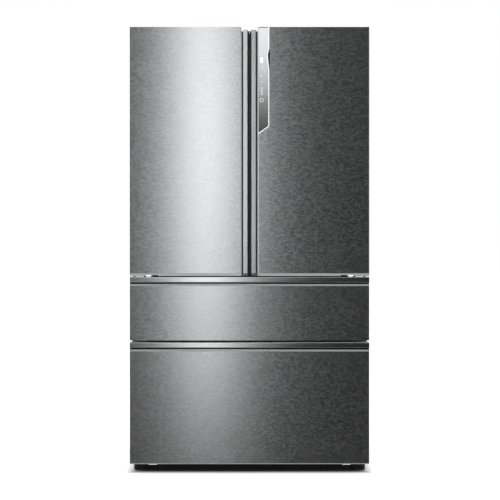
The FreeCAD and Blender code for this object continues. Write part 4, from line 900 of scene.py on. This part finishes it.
def control_marks():
    """Generic marks only: a filled field, arcs, dots, short bars and a ring."""
    form = Form()
    back = span("control_panel")[0][1]
    near, far = back - 0.14, back + 0.1

    def plate(x0, x1, z0, z1, radius):
        form.prism(rounded(x0, x1, z0, z1, radius, 4), (0, 0, 0), "y", near, far)

    def arc(x, z, reach, thick, start, end, steps=20):
        """Part of a ring, from one angle to another."""
        angles = [math.radians(start + (end - start) * k / steps) for k in range(steps + 1)]
        flat = [(x + reach * math.cos(turn), z + reach * math.sin(turn)) for turn in angles]
        flat += [(x + (reach - thick) * math.cos(turn), z + (reach - thick) * math.sin(turn))
                 for turn in reversed(angles)]
        form.prism(flat, (0, 0, 0), "y", near, far)

    middle = STRIP_LEFT + 15.5
    plate(middle - 6, middle + 6, STRIP_TOP - 150, STRIP_TOP - 126, 2.0)
    finish_piece("control_field", form, "white_plastic", "right_door", smooth=False)
    form = Form()
    arc(middle + 6, STRIP_TOP - 174, 7.5, 2.4, 20, 250)
    plate(middle + 8, middle + 13, STRIP_TOP - 186, STRIP_TOP - 181, 1.2)
    for drop in (201, 207, 229):
        plate(middle - 4, middle + 3, STRIP_TOP - drop - 1.6, STRIP_TOP - drop + 1.6, 0.8)
    for drop in (254, 263, 272, 281):
        plate(middle - 5, middle + 6, STRIP_TOP - drop - 1.5, STRIP_TOP - drop + 1.5, 0.8)
    for offset in (-1.5, 2.5):
        plate(middle + offset - 1.2, middle + offset + 1.2, STRIP_TOP - 281, STRIP_TOP - 254, 0.8)
    arc(middle, STRIP_TOP - 306, 8.5, 2.6, 0, 350, 36)
    finish_piece("control_marks", form, "white_plastic", "right_door", smooth=False, look="mark_grey")


control_bezel()
control_marks()

# ---------------------------------------------------------------- trims


def bead(side):
    """A slim bead along the fold beside the finger groove, lighter than the steel: a painted highlight where the
    fold catches the light.
    """
    low, high = span("right_door_panel")
    form = Form()
    radius = 1.9
    x, y = low[0] + radius, FRONT + radius
    flat = [(x + radius * math.cos(turn), y + radius * math.sin(turn)) for turn in turns(16)]
    form.prism(flat, (0, 0, 0), "z", low[2], high[2] - 1)
    if side == "left":
        form.flip()
    body = side + "_door"
    finish_piece(body + "_bead", form, "brushed_aluminium", body, angle=50, look="fold_highlight_bead")


def lower_edge():
    """The folded lower edge of the bottom drawer's front catches the light."""
    low, high = span("lower_drawer_panel")
    form = Form()
    radius = 2.6
    y, z = FRONT + radius, low[2] - 1.1
    flat = [(y + radius * math.cos(turn), z + radius * math.sin(turn)) for turn in turns(20)]
    form.prism(flat, (0, 0, 0), "x", low[0] + 2, high[0] - 2)
    finish_piece("lower_drawer_fold", form, "brushed_steel", "lower_drawer", angle=50, look="lower_fold")


def centre_lips():
    """A soft dark lip on each door closes the gap between them, some way behind the grips: a near-black sheet that
    stands in for the shade in the gap.
    """
    low, high = span("right_door_grip")
    for side in ("right", "left"):
        form = Form()
        form.box((0.7, FRONT + 30, low[2] - 8), (low[0] + 0.4, FRONT + 32.5, high[2]), 0.4)
        if side == "left":
            form.flip()
        finish_piece(side + "_centre_lip", form, "grey_rubber", side + "_door", look="gap_shade_lip")


def grip_ends(which):
    """Plugs close the ends of a drawer's grip profile."""
    low, high = span(which + "_drawer_grip")
    form = Form()
    form.box((high[0] - 3.5, low[1] + 7.4, low[2] + 0.6),
             (high[0] + 0.3, high[1] - 0.4, high[2] - 0.6), 0.5)
    form.mirror()
    finish_piece(which + "_grip_ends", form, "black_plastic", which + "_drawer")


bead("right")
bead("left")
lower_edge()
centre_lips()
grip_ends("upper")
grip_ends("lower")

# ---------------------------------------------------------------- inside and rear details


def lamp_diodes():
    """A row of small emitters standing behind the lens of each light strip."""
    low, high = span("light_strips")
    form = Form()
    count = 14
    for i in range(count):
        z = low[2] + 24 + i * (high[2] - low[2] - 48) / (count - 1)
        form.box((high[0] - 4.5, low[1] + 8, z - 3), (high[0] - 3.6, high[1] - 8, z + 3), 0.3)
    form.mirror()
    finish_piece("light_diodes", form, "lamp_lens", "cabinet")


def rear_sheet():
    """Pressed stiffening ribs and the screws around the back sheets."""
    low, high = span("back_panel")
    cover_low, cover_high = span("machine_cover")
    ribs = Form()
    inset = 190
    for step in range(5):
        z = low[2] + inset + step * (high[2] - low[2] - 2 * inset) / 4
        for x0, x1 in ((-430, -30), (30, 430)):
            flat = rounded(x0, x1, z - 16, z + 16, 15.5, 8)
            top = rounded(x0 + 6, x1 - 6, z - 10, z + 10, 9.5, 8)
            ribs.loft([[(x, high[1] - 0.4, v) for x, v in flat], [(x, high[1] + 2.2, v) for x, v in top]])
    finish_piece("back_ribs", ribs, "zinc_sheet", "cabinet", edge=0.8, angle=20)
    heads = Form()
    columns = (-488, -330, -110, 110, 330, 488)
    places = [(x, high[2] - 12) for x in columns] + [(x, low[2] + 10) for x in columns]
    places += [(x, low[2] + part * (high[2] - low[2]))
               for x in (columns[0], columns[-1]) for part in (0.2, 0.4, 0.6, 0.8)]
    places += [(x, z) for z in (cover_low[2] + 12, cover_high[2] - 11.5) for x in columns]
    for x, z in places:
        screw_head(heads, (x, high[1] - 0.1, z), "y", 1, 4.2, 2.4)
    finish_piece("back_screws", heads, "screw_steel", "cabinet", angle=30)


def hinge_washers():
    """A nylon washer between each door's foot and the middle hinge that carries it."""
    form = Form()
    joint = next(entry for entry in frame["joints"] if entry["name"] == "right_door_hinge")
    x, y = joint["pos_m"][0] / MM, joint["pos_m"][1] / MM
    door_foot = span("right_door_liner")[0][2]
    form.turned([(9.5, door_foot - 1.15), (10.2, door_foot - 0.9), (10.2, door_foot - 0.4),
                 (9.5, door_foot - 0.15)], (x, y, 0), steps=32)
    form.mirror()
    finish_piece("hinge_washers", form, "white_plastic", "cabinet", angle=40)


def hinge_noses():
    """What shows in the gap below each door: a tab, the bracket's nose, its cam and a rubber stop."""
    top = span("right_door_liner")[0][2] - 0.5
    level = span("upper_drawer_grip")[1][2] + 0.4
    shapes = {"tab": (HINGE_TAB, "white_plastic", None), "nose": (HINGE_NOSE, "zinc_sheet", "nose_grey"),
              "cam": (HINGE_CAM, "white_plastic", None), "stop": (DOOR_STOP, "black_plastic", None)}
    for label, ((inner, outer), slot, look) in shapes.items():
        form = Form()
        flat = rounded(inner, outer, FRONT + 3, FRONT + 26, 4.0, 5)
        form.loft([[(x, y, level) for x, y in flat], [(x, y, top) for x, y in flat]])
        form.mirror()
        finish_piece("hinge_" + label, form, slot, "cabinet", edge=0.4, look=look)


def front_clips():
    """Two pale clips hold the folded foot of the bottom drawer's front."""
    fold = span("lower_drawer_panel")[0][2]
    form = Form()
    form.box((388, FRONT + 1.5, fold - 6.2), (423, FRONT + 16, fold - 2.2), 1.2)
    form.mirror()
    finish_piece("drawer_front_clips", form, "white_plastic", "lower_drawer", look="clip_grey")


lamp_diodes()
rear_sheet()
hinge_washers()
hinge_noses()
front_clips()

# ---------------------------------------------------------------- studio


def studio():
    """White surroundings; the brushed metal mirrors a dark room in front, white behind and above."""
    scene = bpy.context.scene
    scene.view_settings.view_transform = "Standard"
    world = bpy.data.worlds.new("studio")
    scene.world = world
    world.use_nodes = True
    world.cycles.sampling_method = "NONE"
    tree = world.node_tree
    tree.nodes.clear()

    def node(kind, **values):
        made = tree.nodes.new(kind)
        for key, value in values.items():
            if isinstance(value, bpy.types.NodeSocket):
                tree.links.new(value, made.inputs[key.replace("_", " ")])
            else:
                made.inputs[key.replace("_", " ")].default_value = value
        return made

    def backdrop(light):
        return node("ShaderNodeBackground", Color=(light, light, light, 1.0)).outputs[0]

    def choose(factor, first, second):
        made = tree.nodes.new("ShaderNodeMixShader")
        for socket, value in zip(made.inputs, (factor, first, second)):
            tree.links.new(value, socket)
        return made.outputs[0]

    split = node("ShaderNodeSeparateXYZ", Vector=tree.nodes.new("ShaderNodeTexCoord").outputs["Generated"])
    behind = node("ShaderNodeMapRange", Value=split.outputs["Y"], From_Min=-0.75, From_Max=0.1)
    above = node("ShaderNodeMapRange", Value=split.outputs["Z"], From_Min=0.7, From_Max=1.0)
    for ramp in (behind, above):
        ramp.interpolation_type = "SMOOTHSTEP"
    around = choose(behind.outputs[0], backdrop(DIM_FRONT), backdrop(0.8))
    around = choose(above.outputs[0], around, backdrop(1.2))
    path = tree.nodes.new("ShaderNodeLightPath")
    seen = choose(path.outputs["Is Glossy Ray"], backdrop(DOME), around)
    seen = choose(path.outputs["Is Camera Ray"], seen, backdrop(1.0))
    tree.links.new(seen, node("ShaderNodeOutputWorld").inputs[0])


def area_light(name, place, aim, size, power):
    lamp = bpy.data.lights.new(name, "AREA")
    lamp.shape = "RECTANGLE"
    lamp.size, lamp.size_y = size
    lamp.energy = power
    holder = bpy.data.objects.new(name, lamp)
    holder.location = place
    holder.rotation_euler = (Vector(aim) - Vector(place)).to_track_quat("-Z", "Y").to_euler()
    holder.visible_camera = False
    bpy.context.scene.collection.objects.link(holder)
    return holder


def camera():
    """Straight in front and level, framed as the photograph is."""
    lens_data = bpy.data.cameras.new("camera")
    holder = bpy.data.objects.new("camera", lens_data)
    bpy.context.scene.collection.objects.link(holder)
    bpy.context.scene.camera = holder
    distance, height, aside = 4.8, 0.9435, 0.0019
    view_width = 2.0945
    lens_data.sensor_width = 36.0
    lens_data.lens = lens_data.sensor_width * distance / view_width
    holder.location = (aside, cad_low.y - distance, height)
    holder.rotation_euler = (math.radians(90), 0, 0)
    lens_data.clip_end = 100


def floor():
    """White ground with a painted shadow under the cabinet, dark there; it glows further out, where the photo's
    floor is pure white.
    """
    size = 40.0
    half_width, to_front, to_back = 0.455, 0.27, 0.36
    mesh = bpy.data.meshes.new("floor")
    corners = [(-size, -size, 0), (size, -size, 0), (size, size, 0), (-size, size, 0)]
    mesh.from_pydata(corners, [], [(0, 1, 2, 3)])
    plane = bpy.data.objects.new("floor", mesh)
    bpy.context.scene.collection.objects.link(plane)
    made = Shader("floor_white")
    haze = made.noise((3, 3, 3))
    # How far a point lies outside the painted shadow's outline around the cabinet.
    beside = made.math("SUBTRACT", made.math("ABSOLUTE", made.axis("X")), half_width)
    before = made.math("SUBTRACT", made.math("MULTIPLY", made.axis("Y"), -1.0), to_front)
    behind = made.math("SUBTRACT", made.axis("Y"), to_back)
    away = made.math("MAXIMUM", made.math("MAXIMUM", beside, before), behind)
    fade = {"Value": away, "From Min": 0.012, "From Max": 0.095, "To Min": 0.0, "To Max": 0.72}
    glow = made.node("ShaderNodeMapRange", fade, interpolation_type="SMOOTHSTEP").outputs[0]
    open_floor = made.mix(haze, grey(0.50), grey(0.52))
    # Painted shadow: close under the cabinet the base colour is near black and the glow fades out.
    made.set(Base_Color=made.mix(made.remap(away, 0.0, 0.07, 0.0, 1.0), grey(0.03), open_floor),
             Roughness=0.8, Specular_IOR_Level=0.1, Emission_Color=grey(1.0), Emission_Strength=glow)
    mesh.materials.append(made.material)
    plane.visible_glossy = False


studio()
camera()
floor()
front = cad_low.y
aside, wide = -0.235, 0.24  # the tall softboxes stand left of the middle, for the streak on the left door
area_light("softbox", (aside, front - 1.3, 1.425), (aside, front, 1.425), (wide, 2.55), 4.6)
area_light("softbox_top", (aside, front - 1.32, 1.8), (aside, front, 1.8), (wide, 1.8), 1.75)
overhead = area_light("overhead", (0.0, -0.9, 4.2), (0, -0.6, 0), (5.0, 4.5), 120)
overhead.visible_glossy = False
